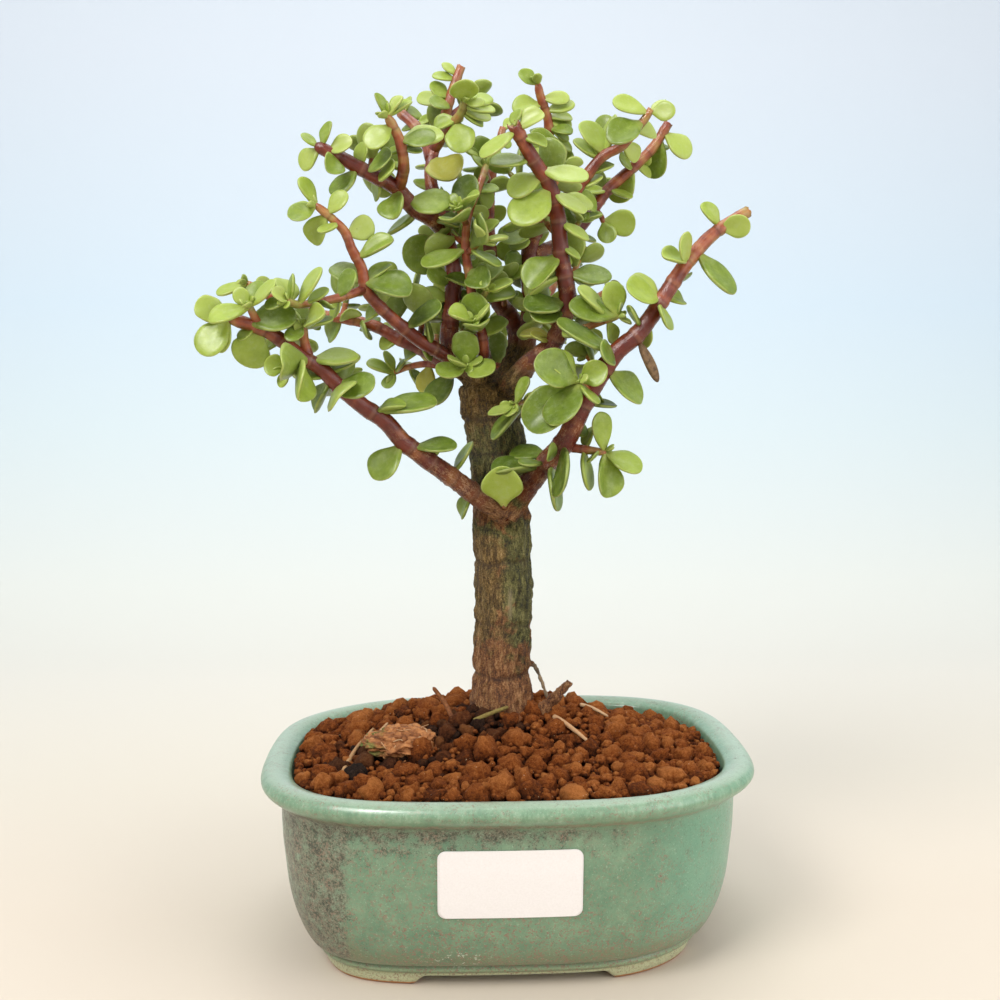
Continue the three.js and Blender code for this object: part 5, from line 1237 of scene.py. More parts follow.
def clay_look():
    """Baked clay grains: matte orange-brown, each its own shade, crumbly, with dust and pale specks."""
    look = Look("clay_grains", 0.95, Specular_IOR_Level=0.12)
    grain = 0.6 * look.noise(1.3, 5, 0.8) + 0.4 * look.noise(0.4, 4, 0.75)
    clay = look["tone"].ragged(grain, 2.6).ramp(
        (0.0, (0.022, 0.006, 0.001)), (0.28, (0.130, 0.032, 0.006)), (0.55, (0.310, 0.080, 0.014)),
        (1.0, (0.580, 0.205, 0.052)))
    specks = look.cells(1.2).step(0.17, 0.09) * look.noise(2.2, 1).step(0.60, 0.66)
    clay = clay.painted(0.9 * specks, (0.72, 0.48, 0.28))
    humus = grain.ramp(
        (0.42, (0.006, 0.004, 0.003)), (0.60, (0.050, 0.026, 0.016)), (0.70, (0.30, 0.26, 0.20)))
    look.relief(grain + 0.3 * look.noise(0.2, 3, 0.7), 1.6, 1.0)
    return look.finish(clay.painted(look["humus"], humus))


def litter_look():
    """Dry roots, twigs, stalks and fibres, from dark brown to cream, with some green."""
    look = Look("dry_litter", 0.8, Specular_IOR_Level=0.3)
    grain = 0.6 * look.noise(1.1, 4, 0.7) + 0.4 * look.noise(0.4, 3, 0.7)
    colour = look["tone"].ragged(grain, 0.9).ramp(
        (0.0, (0.030, 0.012, 0.005)), (0.3, (0.210, 0.070, 0.020)), (0.6, (0.500, 0.210, 0.070)),
        (1.0, (0.580, 0.390, 0.215)))
    moss = grain.ramp((0.3, (0.045, 0.060, 0.010)), (0.7, (0.210, 0.230, 0.050)))
    look.relief(grain + 0.4 * look.noise(0.25, 2), 0.4, 0.9)
    return look.finish(colour.painted(look["green"], moss))


def label_look():
    look = Look("label_paper", 0.45)
    look.relief(look.noise(0.3, 3), 0.02, 0.4)
    paper = look.noise(0.6, 4, 0.7).ramp((0.3, (0.800, 0.765, 0.745)), (0.7, (0.860, 0.825, 0.810)))
    return look.finish(paper)


def screen_look():
    look = Look("screen_plastic", 0.6)
    look.relief(look.noise(0.5, 2), 0.05, 0.5)
    return look.finish(look.noise(1.5, 3).ramp((0.3, (0.012, 0.013, 0.012)), (0.7, (0.030, 0.032, 0.030))))


def stage_look():
    """A plain pale sweep: cream below the pot and pale blue high up behind it."""
    look = Look("pale_sweep", 0.8, Specular_IOR_Level=0.1, Emission_Strength=1.0)
    depth, height = (look.made("ShaderNodeSeparateXYZ", axis, {0: look.place}) for axis in ("Y", "Z"))
    way = (depth + height) * (1 / (SWEEP_REACH * MM))
    # Painted light: the sweep glows, more strongly higher up.
    look.link(way.ramp(*SWEEP_GLOW), look.surface["Emission Color"])
    return look.finish(way.ramp(*SWEEP_COLOURS))


# ---------------------------------------------------------------- pot
def wall_inset(z):
    """Inset of the outer wall at a height below the lip."""
    rows = [row for row in reversed(OUTER_WALL) if row[0] <= LIP_UNDERSIDE]
    return np.interp(z, *zip(*rows))


def fine_profile(rows):
    """The rows of a wall with WALL_PARTS steps between each two, along a smooth curve."""
    curve = Curve([[z, inset, 0] for z, inset in rows])
    return curve.raw(np.linspace(0, 1, WALL_PARTS * (len(rows) - 1) + 1))[:, :2]


def foot_bottom(x, y):
    """Height of the pot's lowest edge: 0 under the four feet and the underside's height between them."""
    gap = np.maximum(smooth(FEET_GAP[0] + FOOT_SLOPE, FEET_GAP[0], np.abs(x)),
                     smooth(FEET_GAP[1] + FOOT_SLOPE, FEET_GAP[1], np.abs(y)))
    return FOOT_TOP * gap


def skirt(share):
    """A height part of the way down a foot's outside."""
    return lambda x, y: FOOT_EDGE + share * (foot_bottom(x, y) - FOOT_EDGE)


def glaze_values(x, y, z):
    """Where the glaze has each of its colours."""
    outside = np.hypot(x, y) > np.where(z < 8, 0.68, 0.8) * plan_radius(np.arctan2(y, x), 0)
    front = smooth(0, -30, y)
    corner = smooth(-47.5, -52.5, x) * smooth(-24, -38, y)
    band = (0.5 * smooth(38, 50, z) + 0.4 * bump_at(z, 52, 2)) * smooth(60, -10, x) * front * (1 - corner)
    pink = 0.85 * bump_at(z, 54.6, 1.3) + 0.4 * bump_at(z, 57.5, 2) + 0.2 * bump_at(z, 12, 4)
    return {
        # The lip's pale crest: thinner glaze on the edge and a painted highlight.
        "pale_crest_highlight": bump_at(z, 62.0, 0.8) * smooth(59.5, 60.5, z),
        "face": smooth(55.0, 57.0, z) * outside,
        "inner": 1.0 * (~outside & (z > 15)),
        "olive": 0.75 * smooth(20, 8, z) + 0.3 * smooth(-42, -51, x) * front * smooth(30, 12, z),
        # The grooves near the foot, where painted shade darkens the glaze.
        "groove": bump_at(z, 7.2, 0.7) + 0.7 * bump_at(z, 4.5, 0.6),
        "pale": np.clip(0.75 * bump_at(z, 6.0, 0.8) + smooth(4.6, 3.8, z), 0, 1) * outside,
        "foot": smooth(5.2, 3.4, z),
        "grey": (1.05 * corner * smooth(7, 10, z) + band) * smooth(56.5, 54.5, z),
        "pink": pink * outside,
        "specks": 0.34 + 0.7 * bump_at(z, 14, 9) * smooth(-45, -10, x)
                  + 0.25 * smooth(60, -40, x) * smooth(56, 40, z),
        "blue": smooth(30, 62, x),
        "chips": patch_at(x, z, (-17.5, 11), (8, 3.5)) * (y < -30),
        "bare": smooth(1.5, 0.7, z),
    }


def make_pot(look):
    inside = FOOT_INSET + FOOT_WIDTH
    rings = [(z, inset) for wall in (INNER_WALL, OUTER_WALL) for z, inset in fine_profile(wall)]
    rings += [(skirt(share), FOOT_INSET + extra) for share, extra in
              ((0.2, -0.1), (0.4, 0.05), (0.6, 0.3), (0.8, 0.65), (0.93, 1.0), (1.0, 1.5))]
    rings += [(skirt(share), inside + extra) for share, extra in ((1.0, -0.8), (0.93, -0.2), (0.8, 0.0))]
    rings += [(FOOT_TOP, inside + extra) for extra in (0.4, 6, 13, 21)]
    poles = [[0, 0, FLOOR_TOP], [0, 0, FOOT_TOP]]
    points = np.vstack([*(plan_ring(POT_SIDES, inset, height) for height, inset in rings), poles])
    faces = [group[:, ::-1] for group in ring_faces(len(rings), POT_SIDES)]
    pot = new_piece("glazed_pot", points, faces, glaze_values(*points.T), look, "glaze", "pot")
    drill(pot)


def drill(pot):
    """Cuts the two drainage holes through the pot's floor."""
    sides, below, above = 48, 6.0, 24.0
    _, flat = circle(sides)
    for middle in ((-DRAIN_X, 0, 0), (DRAIN_X, 0, 0)):
        ring = DRAIN_RADIUS * flat + middle
        points = np.vstack([ring - below * UP, ring + above * UP, middle - below * UP, middle + above * UP])
        drill_bit = new_object("drill_bit", new_mesh("drill_bit", points, ring_faces(2, sides)))
        hole = pot.modifiers.new("hole", "BOOLEAN")
        hole.object = drill_bit
        hole.operation = "DIFFERENCE"
        hole.solver = "EXACT"
        apply_modifiers(pot)
        bpy.data.objects.remove(drill_bit)


def make_label(look):
    """A blank sticker with rounded corners that follows the front wall."""
    half_w, half_h, r = LABEL_SIZE[0] / 2, LABEL_SIZE[1] / 2, LABEL_CORNER
    rows, columns = 26, 40
    side = np.linspace(-1, 1, columns + 1)
    up = np.sin(np.linspace(-np.pi / 2, np.pi / 2, rows + 1))  # rows lie closest at the rounded corners
    u, v = np.meshgrid(side * half_w, up * half_h)
    into_corner = np.maximum(np.abs(v) - (half_h - r), 0)
    reach = half_w - r + np.sqrt(np.maximum(r * r - into_corner**2, 0))
    x = u * reach / half_w + LABEL_MIDDLE[0]
    z = v + LABEL_MIDDLE[1]
    sheets = []
    for out in (LABEL_GAP, LABEL_GAP + LABEL_THICKNESS):
        y = np.full_like(x, -POT_HALF_DEPTH)
        for _ in range(6):  # walks to the wall's own point above x
            angle = np.arctan2(y, x)
            y = -np.abs(plan_radius(angle, wall_inset(z) - out) * np.sin(angle))
        sheets.append(np.stack([x, y, z], axis=-1).reshape(-1, 3))
    wide, total = columns + 1, x.size
    cell = (np.arange(rows)[:, None] * wide + np.arange(columns)).ravel()
    front = np.stack([cell, cell + 1, cell + wide + 1, cell + wide], axis=1)
    edge = np.concatenate([np.arange(columns), columns + wide * np.arange(rows),
                           rows * wide + np.arange(columns, 0, -1), wide * np.arange(rows, 0, -1)])
    after = np.roll(edge, -1)
    rim = np.stack([edge, after, after + total, edge + total], axis=1)
    faces = [front[:, ::-1], front + total, rim]
    new_piece("blank_label", np.vstack(sheets), faces, {}, look, "label", "label")


# ---------------------------------------------------------------- soil
GRAIN_SIZES = (  # each layer's smallest and largest radius, how often one is tried, and how close they pack
    (3.2, 4.3, 1500, 0.93), (2.2, 3.2, 5000, 0.86), (1.2, 2.1, 9000, 0.80), (0.6, 1.1, 14000, 0.72),
)
SMALL_GRAIN = 1.2
FINE_GRAIN = 2.0  # grains larger than this get finer shapes where they are seen closely
FINE_REACH = 8  # the front half of the soil ends at this depth
BED_SIDES = 160
BED_SHARES = np.linspace(0.02, 1, 44)
BED_SKIRT = ((50, 12.5), (40, 14), (30, 16), (22, 18.5), (12.5, 29), (12, 40), (12, 52))  # height, inset


def scatter_grains(rng):
    """Places and radii of the grains: the large ones first, then smaller ones in the room left."""
    places, radii = np.zeros((0, 2)), np.zeros(0)
    for low, high, tries, closeness in GRAIN_SIZES:
        for _ in range(tries):
            x = rng.uniform(-1, 1) * (POT_HALF_WIDTH - SOIL_INSET)
            y = rng.uniform(-1, 1) * (POT_HALF_DEPTH - SOIL_INSET)
            r = rng.uniform(low, high)
            if math.hypot(x, y) > plan_radius(math.atan2(y, x), SOIL_INSET + 0.8 * r):
                continue
            if math.hypot(x - TRUNK_AXIS[0], y - TRUNK_AXIS[1]) < TRUNK_RADIUS + 1.5:
                continue
            if math.hypot((x - CLUMP_PLACE[0]) / CLUMP_ROOM[0], (y - CLUMP_PLACE[1]) / CLUMP_ROOM[1]) < 1:
                continue
            if (np.hypot(places[:, 0] - x, places[:, 1] - y) < closeness * (radii + r)).any():
                continue
            places = np.vstack([places, [x, y]])
            radii = np.append(radii, r)
    return places, radii


def humus_at(x, y):
    """Dark crumbly patches in the soil beside the trunk and under the clump of fibres."""
    beside, under = patch_at(x, y, (-12, -9), (11, 8)), patch_at(x, y, (-36, -17), (15, 12))
    return np.clip(1.3 * beside + 1.3 * under, 0, 1)


def make_soil_bed(look):
    """The solid bed that shows between the grains, kept dark as painted shade in the gaps."""
    angles, flat = circle(BED_SIDES)
    rings = []
    for share in BED_SHARES:
        ring = flat * (share * plan_radius(angles, SOIL_INSET))[:, None]
        ring[:, 2] = mound(ring[:, 0], ring[:, 1]) - BED_DEPTH
        rings.append(ring)
    rings += [plan_ring(BED_SIDES, inset, z) for z, inset in BED_SKIRT]
    points = np.vstack([*rings, [0, 0, mound(0, 0) - BED_DEPTH], [0, 0, BED_SKIRT[-1][0]]])
    top = slice(0, len(BED_SHARES) * BED_SIDES)
    points[top, 2] += 0.5 * field(points[top], 3.0, 3, 2)
    faces = [group[:, ::-1] for group in ring_faces(len(rings), BED_SIDES)]
    bed = Surface("tone", "humus")
    # The bed's low tone is painted shade between the grains.
    bed.add(points, faces, tone=0.12, humus=humus_at(points[:, 0], points[:, 1]))
    bed.build("soil_bed", look, "akadama", "soil")


def make_soil(look):
    make_soil_bed(look)
    rng = np.random.default_rng(31)
    places, radii = scatter_grains(rng)
    fine, plain = lump_shapes(3, 14, 100), lump_shapes(2, 12, 200)
    halves = {"soil_grains_front": Surface("tone", "humus"), "soil_grains_back": Surface("tone", "humus")}
    for (x, y), r in zip(places, radii):
        front, small = y < FINE_REACH, r < SMALL_GRAIN
        shapes, faces = fine if r > FINE_GRAIN and front else plain
        shape = shapes[rng.integers(len(shapes))] * rng.uniform(0.78, 1.15, 3)
        shape = turned(shape, rng) * r * 1.08
        sink = rng.uniform(-0.6, 1.8) if r <= SMALL_GRAIN else rng.uniform(-0.05, 0.75) * r
        heap = 2.6 * patch_at(x, y, (-62, 6), (14, 30))
        middle = np.array([x, y, mound(x, y) + 0.6 + heap - sink])
        # Painted shade: grains sunk deeper are made darker; small grains are made darker too.
        tone = np.clip(rng.normal(0.5, 0.15) - 0.1 * small - 0.05 * sink, 0.05, 0.95)
        dark = 0.0 if rng.uniform() > humus_at(x, y) else rng.uniform(0.5, 1)
        # Painted light and shade: each grain is lighter on top and darker towards its bottom.
        tone = np.clip(tone - 0.06 + 0.30 * shape[:, 2] / r, 0.02, 1)
        half = halves["soil_grains_front" if front else "soil_grains_back"]
        half.add(shape + middle, [faces], tone=tone, humus=dark)
    for name, half in halves.items():
        half.build(name, look, "akadama", "soil")


# ---------------------------------------------------------------- litter
def on_mound(x, y, height):
    return np.array([x, y, float(mound(x, y)) + height])


def make_litter(look):
    for name, (path, radii, tone, green) in LITTER.items():
        surface = Surface("tone", "green")
        line = [on_mound(x, y, height + 0.25) for x, y, height in path]
        strand(surface, line, radii, 12, 0.5, 0.3, len(name), tone=tone, green=green)
        surface.build(name + "_fine", look, "litter", name)
    chip = Surface("tone", "green")
    shapes, faces = lump_shapes(3, 1, 5, 0.35)
    chip.add(shapes[0] * CHIP_HALF + on_mound(*CHIP_PLACE, 0.6), [faces], tone=0.30)
    chip.build("bark_chip_fine", look, "litter", "bark_chip")
    make_clump(look)


def upper_way(rng):
    """A random way that doesn't point down."""
    way = unit(rng.normal(size=3))
    way[2] = abs(way[2])
    return way


def make_clump(look):
    """A crumbly clump of tan fibres: many small crumbs heaped together, with strands and bits of moss."""
    clump = Surface("tone", "green")
    rng = np.random.default_rng(77)
    centre = on_mound(*CLUMP_PLACE, 0.8)
    shapes, faces = lump_shapes(2, 8, 300, 0.22)
    ball, ball_faces = round_lump(6)
    core = ball * (1 + 0.3 * field(ball, 0.35, 9, 4)[:, None]) * CLUMP_HALF * 0.97
    mossy = smooth(-0.3, -0.8, ball[:, 0]) * smooth(-0.1, 0.25, field(ball, 0.3, 12, 2))
    clump.add(core + centre, [ball_faces], tone=0.42 + 0.3 * field(ball, 0.25, 13, 3), green=mossy)
    for _ in range(130):
        way, size = upper_way(rng), rng.uniform(0.5, 1.6)
        middle = centre + way * CLUMP_HALF * rng.uniform(0.80, 0.94)
        green = 0.9 if rng.uniform() < 0.25 and way[0] < -0.2 else 0.0
        crumb = turned(shapes[rng.integers(len(shapes))], rng) * size * 0.85
        clump.add(crumb + middle, [faces], tone=rng.uniform(0.3, 0.62), green=green)
    for _ in range(18):
        start = centre + upper_way(rng) * CLUMP_HALF * 0.9
        run = unit(rng.normal(size=3) * [1, 1, 0.25]) * rng.uniform(3, 7)
        bend = rng.normal(size=3) * 0.6
        bend[2] = abs(bend[2])
        path = [start - run / 2, start + bend, start + run / 2]
        strand(clump, path, (0.22, 0.14), 6, 0.6, 0.1, 1, tone=rng.uniform(0.7, 1.0))
    clump.build("fibre_clump_fine", look, "litter", "fibre_clump")


# ---------------------------------------------------------------- leaves in full
LEAF_ROWS = np.array([  # where along a leaf its rings lie
    0, 0.05, 0.11, 0.18, 0.26, 0.35, 0.44, 0.53, 0.62, 0.70, 0.78, 0.85, 0.91, 0.955, 0.985,
])
LEAF_SIDES = 14
LEAF_VALUES = ("tone", "rim", "along", "under", "vein", "gold", "dry")
WIDEST = 0.57  # where along it a leaf is widest
BUD_PAIRS = ((4.6, 0.65), (3.4, 1.0), (2.3, 1.25))  # length of the tiny leaves at a tip, and their rise

GOLDEN = {  # yellowed leaves: limb and place along it
    ("front_right", 24), ("front_right", 26), ("short_left", 61), ("short_left", 31), ("upright", 72),
}


def outline(s, blunt, point, foot):
    """Half width of a leaf at shares s of its length, with 1 at its widest."""
    lower = foot + (1 - foot) * np.sin(np.pi / 2 * np.clip(s / WIDEST, 0, 1)) ** 1.4
    upper = np.clip(1 - np.clip((s - WIDEST) / (1 - WIDEST), 0, 1) ** blunt, 0, 1) ** point
    return np.where(s < WIDEST, lower, upper)


def leaf_points(leaf, draw, foot_length):
    """The points of one fleshy leaf, and how near each is to its rim, tip, underside and middle line."""
    blunt, cup = 1.9 + 0.9 * draw(), 0.7 * draw()
    arch, sway = 0.16 * (draw() - 0.45), 0.14 * (draw() - 0.5)
    crease, plump = 0.8 * draw(), 0.85 + 0.3 * draw()
    foot = 0.12 + 0.05 * draw()
    wave, shift = 0.05 * draw(), 2 * math.pi * draw()
    fold = 0.07 + 0.55 * max(0, draw() - 0.55)
    point = 0.5 + 0.3 * max(0, draw() - 0.5)
    twist = 0.5 * (draw() - 0.5)
    s = LEAF_ROWS[:, None]
    angle = 2 * np.pi * np.arange(LEAF_SIDES)[None] / LEAF_SIDES
    half_width = 0.53 * leaf.width * outline(s, blunt, point, foot) * (1 + wave * np.sin(9 * s + shift))
    half_width = half_width * (1 - 0.35 * fold) * (0.55 if is_dried(leaf) else 1)
    half_thick = 0.5 * thickness(leaf.length) * plump
    half_thick = half_thick * (0.62 + 0.38 * smooth(0, 0.35, s)) * np.sqrt(np.clip(1 - s**7, 0, 1))
    half_thick = np.minimum(half_thick, 1.2 * half_width)
    side, lift = np.cos(angle), np.sin(angle)
    height = half_thick * (np.sign(lift) * np.abs(lift) ** 0.85) * np.where(lift > 0, 0.85, 1.1)
    hollow = cup * half_thick * (1 - side**2) * smooth(0.2, 0.5, s) * (lift > 0)
    groove = crease * half_thick * bump_at(side, 0, 0.28) * bump_at(s, 0.3, 0.22) * (lift > 0)
    rise = fold * leaf.width * np.abs(side * half_width / (0.5 * leaf.width)) ** 1.5 * smooth(0.05, 0.4, s)
    bow = leaf.length * arch * (s**2 - 0.25 * s) * smooth(0.1, 0.4, s)
    turn = twist * s * side * half_width
    height = height - hollow - groove + rise + bow + turn
    across = side * half_width + leaf.width * sway * s**2
    reach = foot_length + s * (leaf.length - foot_length)
    grid = (leaf.root + reach[..., None] * leaf.along + across[..., None] * leaf.across
            + height[..., None] * leaf.face)
    tip_bow = leaf.length * arch * 0.75
    tip = leaf.root + leaf.length * leaf.along + leaf.width * sway * leaf.across + tip_bow * leaf.face
    points = np.vstack([grid.reshape(-1, 3), leaf.root + foot_length * leaf.along, tip])
    rim = np.maximum(smooth(0.70, 1.0, np.abs(side)) * smooth(0.15, 0.35, s), smooth(0.93, 1.0, s))
    values = {
        "rim": (rim, [0, 1]),
        "along": (np.broadcast_to(s, rim.shape), [0, 1]),
        "under": (np.broadcast_to(lift < -0.05, rim.shape), [0, 0]),
        "vein": (bump_at(side, 0, 0.22) * smooth(0.9, 0.3, s) * (lift > 0), [0, 0]),
    }
    return points, {name: np.append(value.ravel(), ends) for name, (value, ends) in values.items()}


def leaf_tone(leaf, draw):
    """How light and young a leaf looks: deep green inside the crown and yellow-green at the shoots' tips, a
    little lighter higher up, and darker towards the back as painted shade.
    """
    out = smooth(30, 100, leaf.percent)
    small = smooth(17, 7, leaf.length)
    high = smooth(150, 270, leaf.root[2])
    # Painted shade: leaves towards the back are made darker.
    behind = smooth(5, 45, leaf.root[1])
    return 0.25 + 0.20 * out + 0.12 * small + 0.05 * high - 0.16 * behind + 0.62 * (draw() - 0.42)


def is_dried(leaf):
    """Whether it is the one narrow, shrivelled leaf low on the right."""
    return leaf.limb == "low_right" and leaf.width < 0.45 * leaf.length


def add_leaf(blades, leaf, draw):
    foot = LEAF_FOOT * max(0, leaf.stem_radius - THIN_STEM)
    points, values = leaf_points(leaf, draw, foot)
    golden = (leaf.limb, round(leaf.percent)) in GOLDEN
    blades.add(points, ring_faces(len(LEAF_ROWS), LEAF_SIDES), tone=leaf_tone(leaf, draw), gold=golden,
               dry=is_dried(leaf), **values)


def bud_leaves(name, draw):
    """Tiny leaves that unfold at a growing tip, in pairs a quarter turn apart."""
    curve, tip_radius = CURVES[name], LIMBS[name].radii[1]
    stem = curve.tangent(1.0)
    level = unit(np.cross(stem, UP + 0.01))
    leaves = []
    for k, (length, rise) in enumerate(BUD_PAIRS):
        turn = QUARTER * k + 1.2 * draw()
        for half in (0, math.pi):
            out, along = leaning_out(stem, level, turn + half, rise)
            size = length * (0.8 + 0.4 * draw())
            root = curve.at(1.0) - 0.8 * stem + out * 0.35 * tip_radius
            leaves.append(Leaf(name, 100.0, root, along, stem, size, size * 0.6, stem, 0.5).squared())
    return leaves


# ---------------------------------------------------------------- stems
# How each limb looks: how young its skin is at the foot and at the tip (0 old bark, 0.5 maroon, 1 green),
# and its end: a straight cut, a torn papery end, a round healed end or a growing tip.
LIMB_LOOKS = {
    "low_left": (0.10, 0.72, "bud"),
    "low_right": (0.14, 0.78, "cut"),
    "front_shoot": (0.45, 0.92, "bud"),
    "front_right": (0.22, 0.60, "torn"),
    "mid_left": (0.25, 0.85, "bud"),
    "upright": (0.28, 0.78, "cut"),
    "upper_left": (0.34, 0.52, "round"),
    "right_main": (0.22, 0.45, "round"),
    "right_upper": (0.42, 0.80, "cut"),
    "right_lower": (0.25, 0.82, "cut"),
    "right_top": (0.45, 0.85, "bud"),
    "centre_back": (0.22, 0.80, "cut"),
    "behind_left": (0.25, 0.88, "bud"),
    "short_left": (0.35, 0.85, "bud"),
    "back_left": (0.25, 0.85, "bud"),
    "back_right": (0.25, 0.85, "bud"),
    "back_middle": (0.25, 0.85, "bud"),
    "crotch_stalk": (0.45, 0.7, "bud"),
    "upper_back": (0.55, 0.80, "cut"),
    "right_lower_twig": (0.5, 0.7, "round"),
}
SIDE_SHOOT = (0.55, 0.95, "bud")
# The way the light comes from, used for painted light and shade on the stems.
LIGHTWARD = unit(np.array([-0.45, -0.35, 0.82]))
WOOD_VALUES = ("youth", "sun", "ring", "collar", "cut", "moss", "rust", "streak", "scar")
FIBRE_STRETCH = 0.3  # fibres are this much longer along a limb than across it
FIBRE_SHIFT = 9  # moves each limb's fibres to their own part of the noise
NODE_GAP = 6.5  # leaves nearer to each other than this share one swelling of the stem
NODE_SWELL = 0.07  # how much wider a stem is where leaves grow
NODE_PINCH = 0.045  # and how much narrower just below
NODE_RING = 1.2  # how far below the leaves the dark line lies
ROW_STEP = 0.6  # length between a stem's rings


def youth_at(name, share):
    return taper(LIMB_LOOKS.get(name, SIDE_SHOOT)[:2], np.asarray(share) ** 0.8)


def limb_end(name):
    return LIMB_LOOKS.get(name, SIDE_SHOOT)[2]


def stem_profile(name, share, leaves):
    """Radii along a stem and how dark and how pale its skin is there: at each pair of leaves it swells,
    with a dark line below a pale collar."""
    curve, ring, collar, swell = CURVES[name], *np.zeros((3, len(share)))
    for place in leaf_places(name, leaves):
        away = (share - place) * curve.length
        swell = np.maximum(swell, NODE_SWELL * bump_at(away, 0.3, 1.3))
        swell -= NODE_PINCH * bump_at(away, -NODE_RING, 0.4)
        ring = np.maximum(ring, 0.8 * bump_at(away, -NODE_RING, 0.35))
        collar = np.maximum(collar, 0.8 * bump_at(away, -0.3, 0.5))
    return taper(LIMBS[name].radii, share) * (1 + swell), ring, collar


def leaf_places(name, leaves):
    """Shares of a limb's length at which leaves grow, with those close together taken as one."""
    places = []
    for share in sorted(leaf.percent / 100 for leaf in leaves if leaf.limb == name):
        if not places or (share - places[-1]) * CURVES[name].length > NODE_GAP:
            places.append(share)
    return places


class Wood(Surface):
    """Stems and bark: each point also holds where it lies across and along its limb, for the fibres."""

    def __init__(self):
        super().__init__(*WOOD_VALUES)
        self.fibres = []

    def add(self, points, faces, fibre=None, **values):
        super().add(points, faces, **values)
        self.fibres.append(fibre)

    def build(self, *names):
        piece = super().build(*names)
        layer = piece.data.attributes.new("fibre", "FLOAT_VECTOR", "POINT")
        layer.data.foreach_set("vector", (np.vstack(self.fibres) * MM).astype(np.float32).ravel())


def add_stem(wood, name, leaves, seed, start=0.0):
    """One stem from a length along its limb to the limb's end."""
    curve, (foot, tip), end = CURVES[name], LIMBS[name].radii, limb_end(name)
    sides = 18 if foot > 2.2 else 14
    rows = max(8, round((curve.length - start) / ROW_STEP))
    share = np.linspace(start / curve.length, 1, rows)
    line = curve.at(share)
    radius, ring, collar = stem_profile(name, share, leaves)
    if end in ("bud", "round"):
        dome = (1.5 if end == "round" else 2.2) * tip
        left = (1 - share) * curve.length
        radius = radius * np.sqrt(np.clip(1 - np.clip(1 - left / dome, 0, 1) ** 2, 0.02, 1))
    points, out, angles = tube(line, radius, sides)

    def on_points(values, ends):
        """A value for each ring as one for each point."""
        return np.append(np.repeat(values, sides), ends)

    youth = youth_at(name, share)
    age = on_points(youth, youth[[0, -1]])
    rough = (0.03 + 0.14 * smooth(0.4, 0.1, age)) * foot
    normals = np.vstack([out.reshape(-1, 3), -curve.tangent(0.0), curve.tangent(1.0)])
    across, reach = np.append(np.tile(angles, rows), [0, 0]), on_points(radius, [0, 0])
    along = on_points(share, share[[0, -1]]) * curve.length
    fibre = np.stack([reach * np.cos(across) + FIBRE_SHIFT * seed, reach * np.sin(across),
                      along * FIBRE_STRETCH], axis=1)
    points = points + (rough * field(points, 1.3, seed, 3))[:, None] * normals
    cut = np.zeros(len(points))
    if end in ("cut", "torn"):
        cut_end(points, cut, sides, radius[-1], line, seed, end == "torn")
    wood.add(points, ring_faces(rows, sides), fibre=fibre, youth=age, sun=normals @ LIGHTWARD,
             ring=on_points(ring, [0, 0]), collar=on_points(collar, [0, 0]), cut=cut)


def cut_end(points, cut, sides, radius, line, seed, torn):
    """Draws the last rings of a stem into a cut face with a low rim; a torn end is ragged and deeper."""
    middle, way = line[-1], unit(line[-1] - line[-2])
    end = len(points) - 2
    last, before = slice(end - sides, end), slice(end - 2 * sides, end - sides)
    ragged = np.random.default_rng(seed).uniform(-1, 1, sides)[:, None] * (0.4 if torn else 0.12)
    points[before] = points[last] + ragged * way * radius
    points[last] = middle + (points[last] - middle) * 0.78 + (ragged * 0.5 - 0.12) * way * radius
    points[-1] = middle - way * radius * (0.9 if torn else 0.25)
    cut[last] = 1
    cut[-1] = 1


# ---------------------------------------------------------------- trunk
def trunk_radius(z, bearing):
    flare = np.minimum(FLARE * np.maximum(0, (FLARE_TOP - z) / 20) ** 1.5, 4)
    lobes = 1 + 0.35 * np.cos(3 * bearing + 0.6)
    share = (z - TRUNK_PATH[0][2]) / (TRUNK_PATH[-1][2] - TRUNK_PATH[0][2])
    ridges = 0.35 * np.cos(5 * bearing + 9 * share)
    head = 0.6 * smooth(164, 173, z)
    return TRUNK_RADIUS + flare * lobes + ridges + head - groove_depth(z, bearing)


def groove_depth(z, bearing, widen=1.0):
    """How deep the old leaf scars cut in: each runs round the trunk in a wavering line, deep here and faint
    there."""
    total = 0
    for at, half, depth in GROOVES:
        waver = (0.7 * np.sin(bearing + at) + 0.35 * np.sin(3 * bearing + 2 * at)
                 + 0.2 * np.sin(7 * bearing + at))
        share = 0.9 + 0.25 * np.sin(2 * bearing + 3 * at)
        total = total + depth * share * bump_at(z + waver, at, widen * half)
    return total


def trunk_tube():
    """The trunk's own round, closed at the head by a low dome."""
    sides, rows = 72, 180
    share = np.linspace(0, 1, rows)
    line = TRUNK_CURVE.at(share)
    angles, flat = circle(sides)
    radius = trunk_radius(line[:, 2][:, None], angles[None])
    radius = radius * np.sqrt(np.clip(1 - smooth(0.955, 1.0, share) ** 3, 0.03, 1))[:, None]
    rings = line[:, None] + flat[None] * radius[..., None]
    return np.vstack([rings.reshape(-1, 3), line[0], line[-1]]), ring_faces(rows, sides)


def plain_tube(curve, radii, rows, sides, end=1, flare=0):
    """A tapered tube along a curve, as far as a share of it, which widens at its foot by flare."""
    share = np.linspace(0, end, rows)
    widened = 1 + flare * np.exp(-share * curve.length / 5)
    points, _, _ = tube(curve.at(share), taper(radii, share) * widened, sides)
    return points, ring_faces(rows, sides)


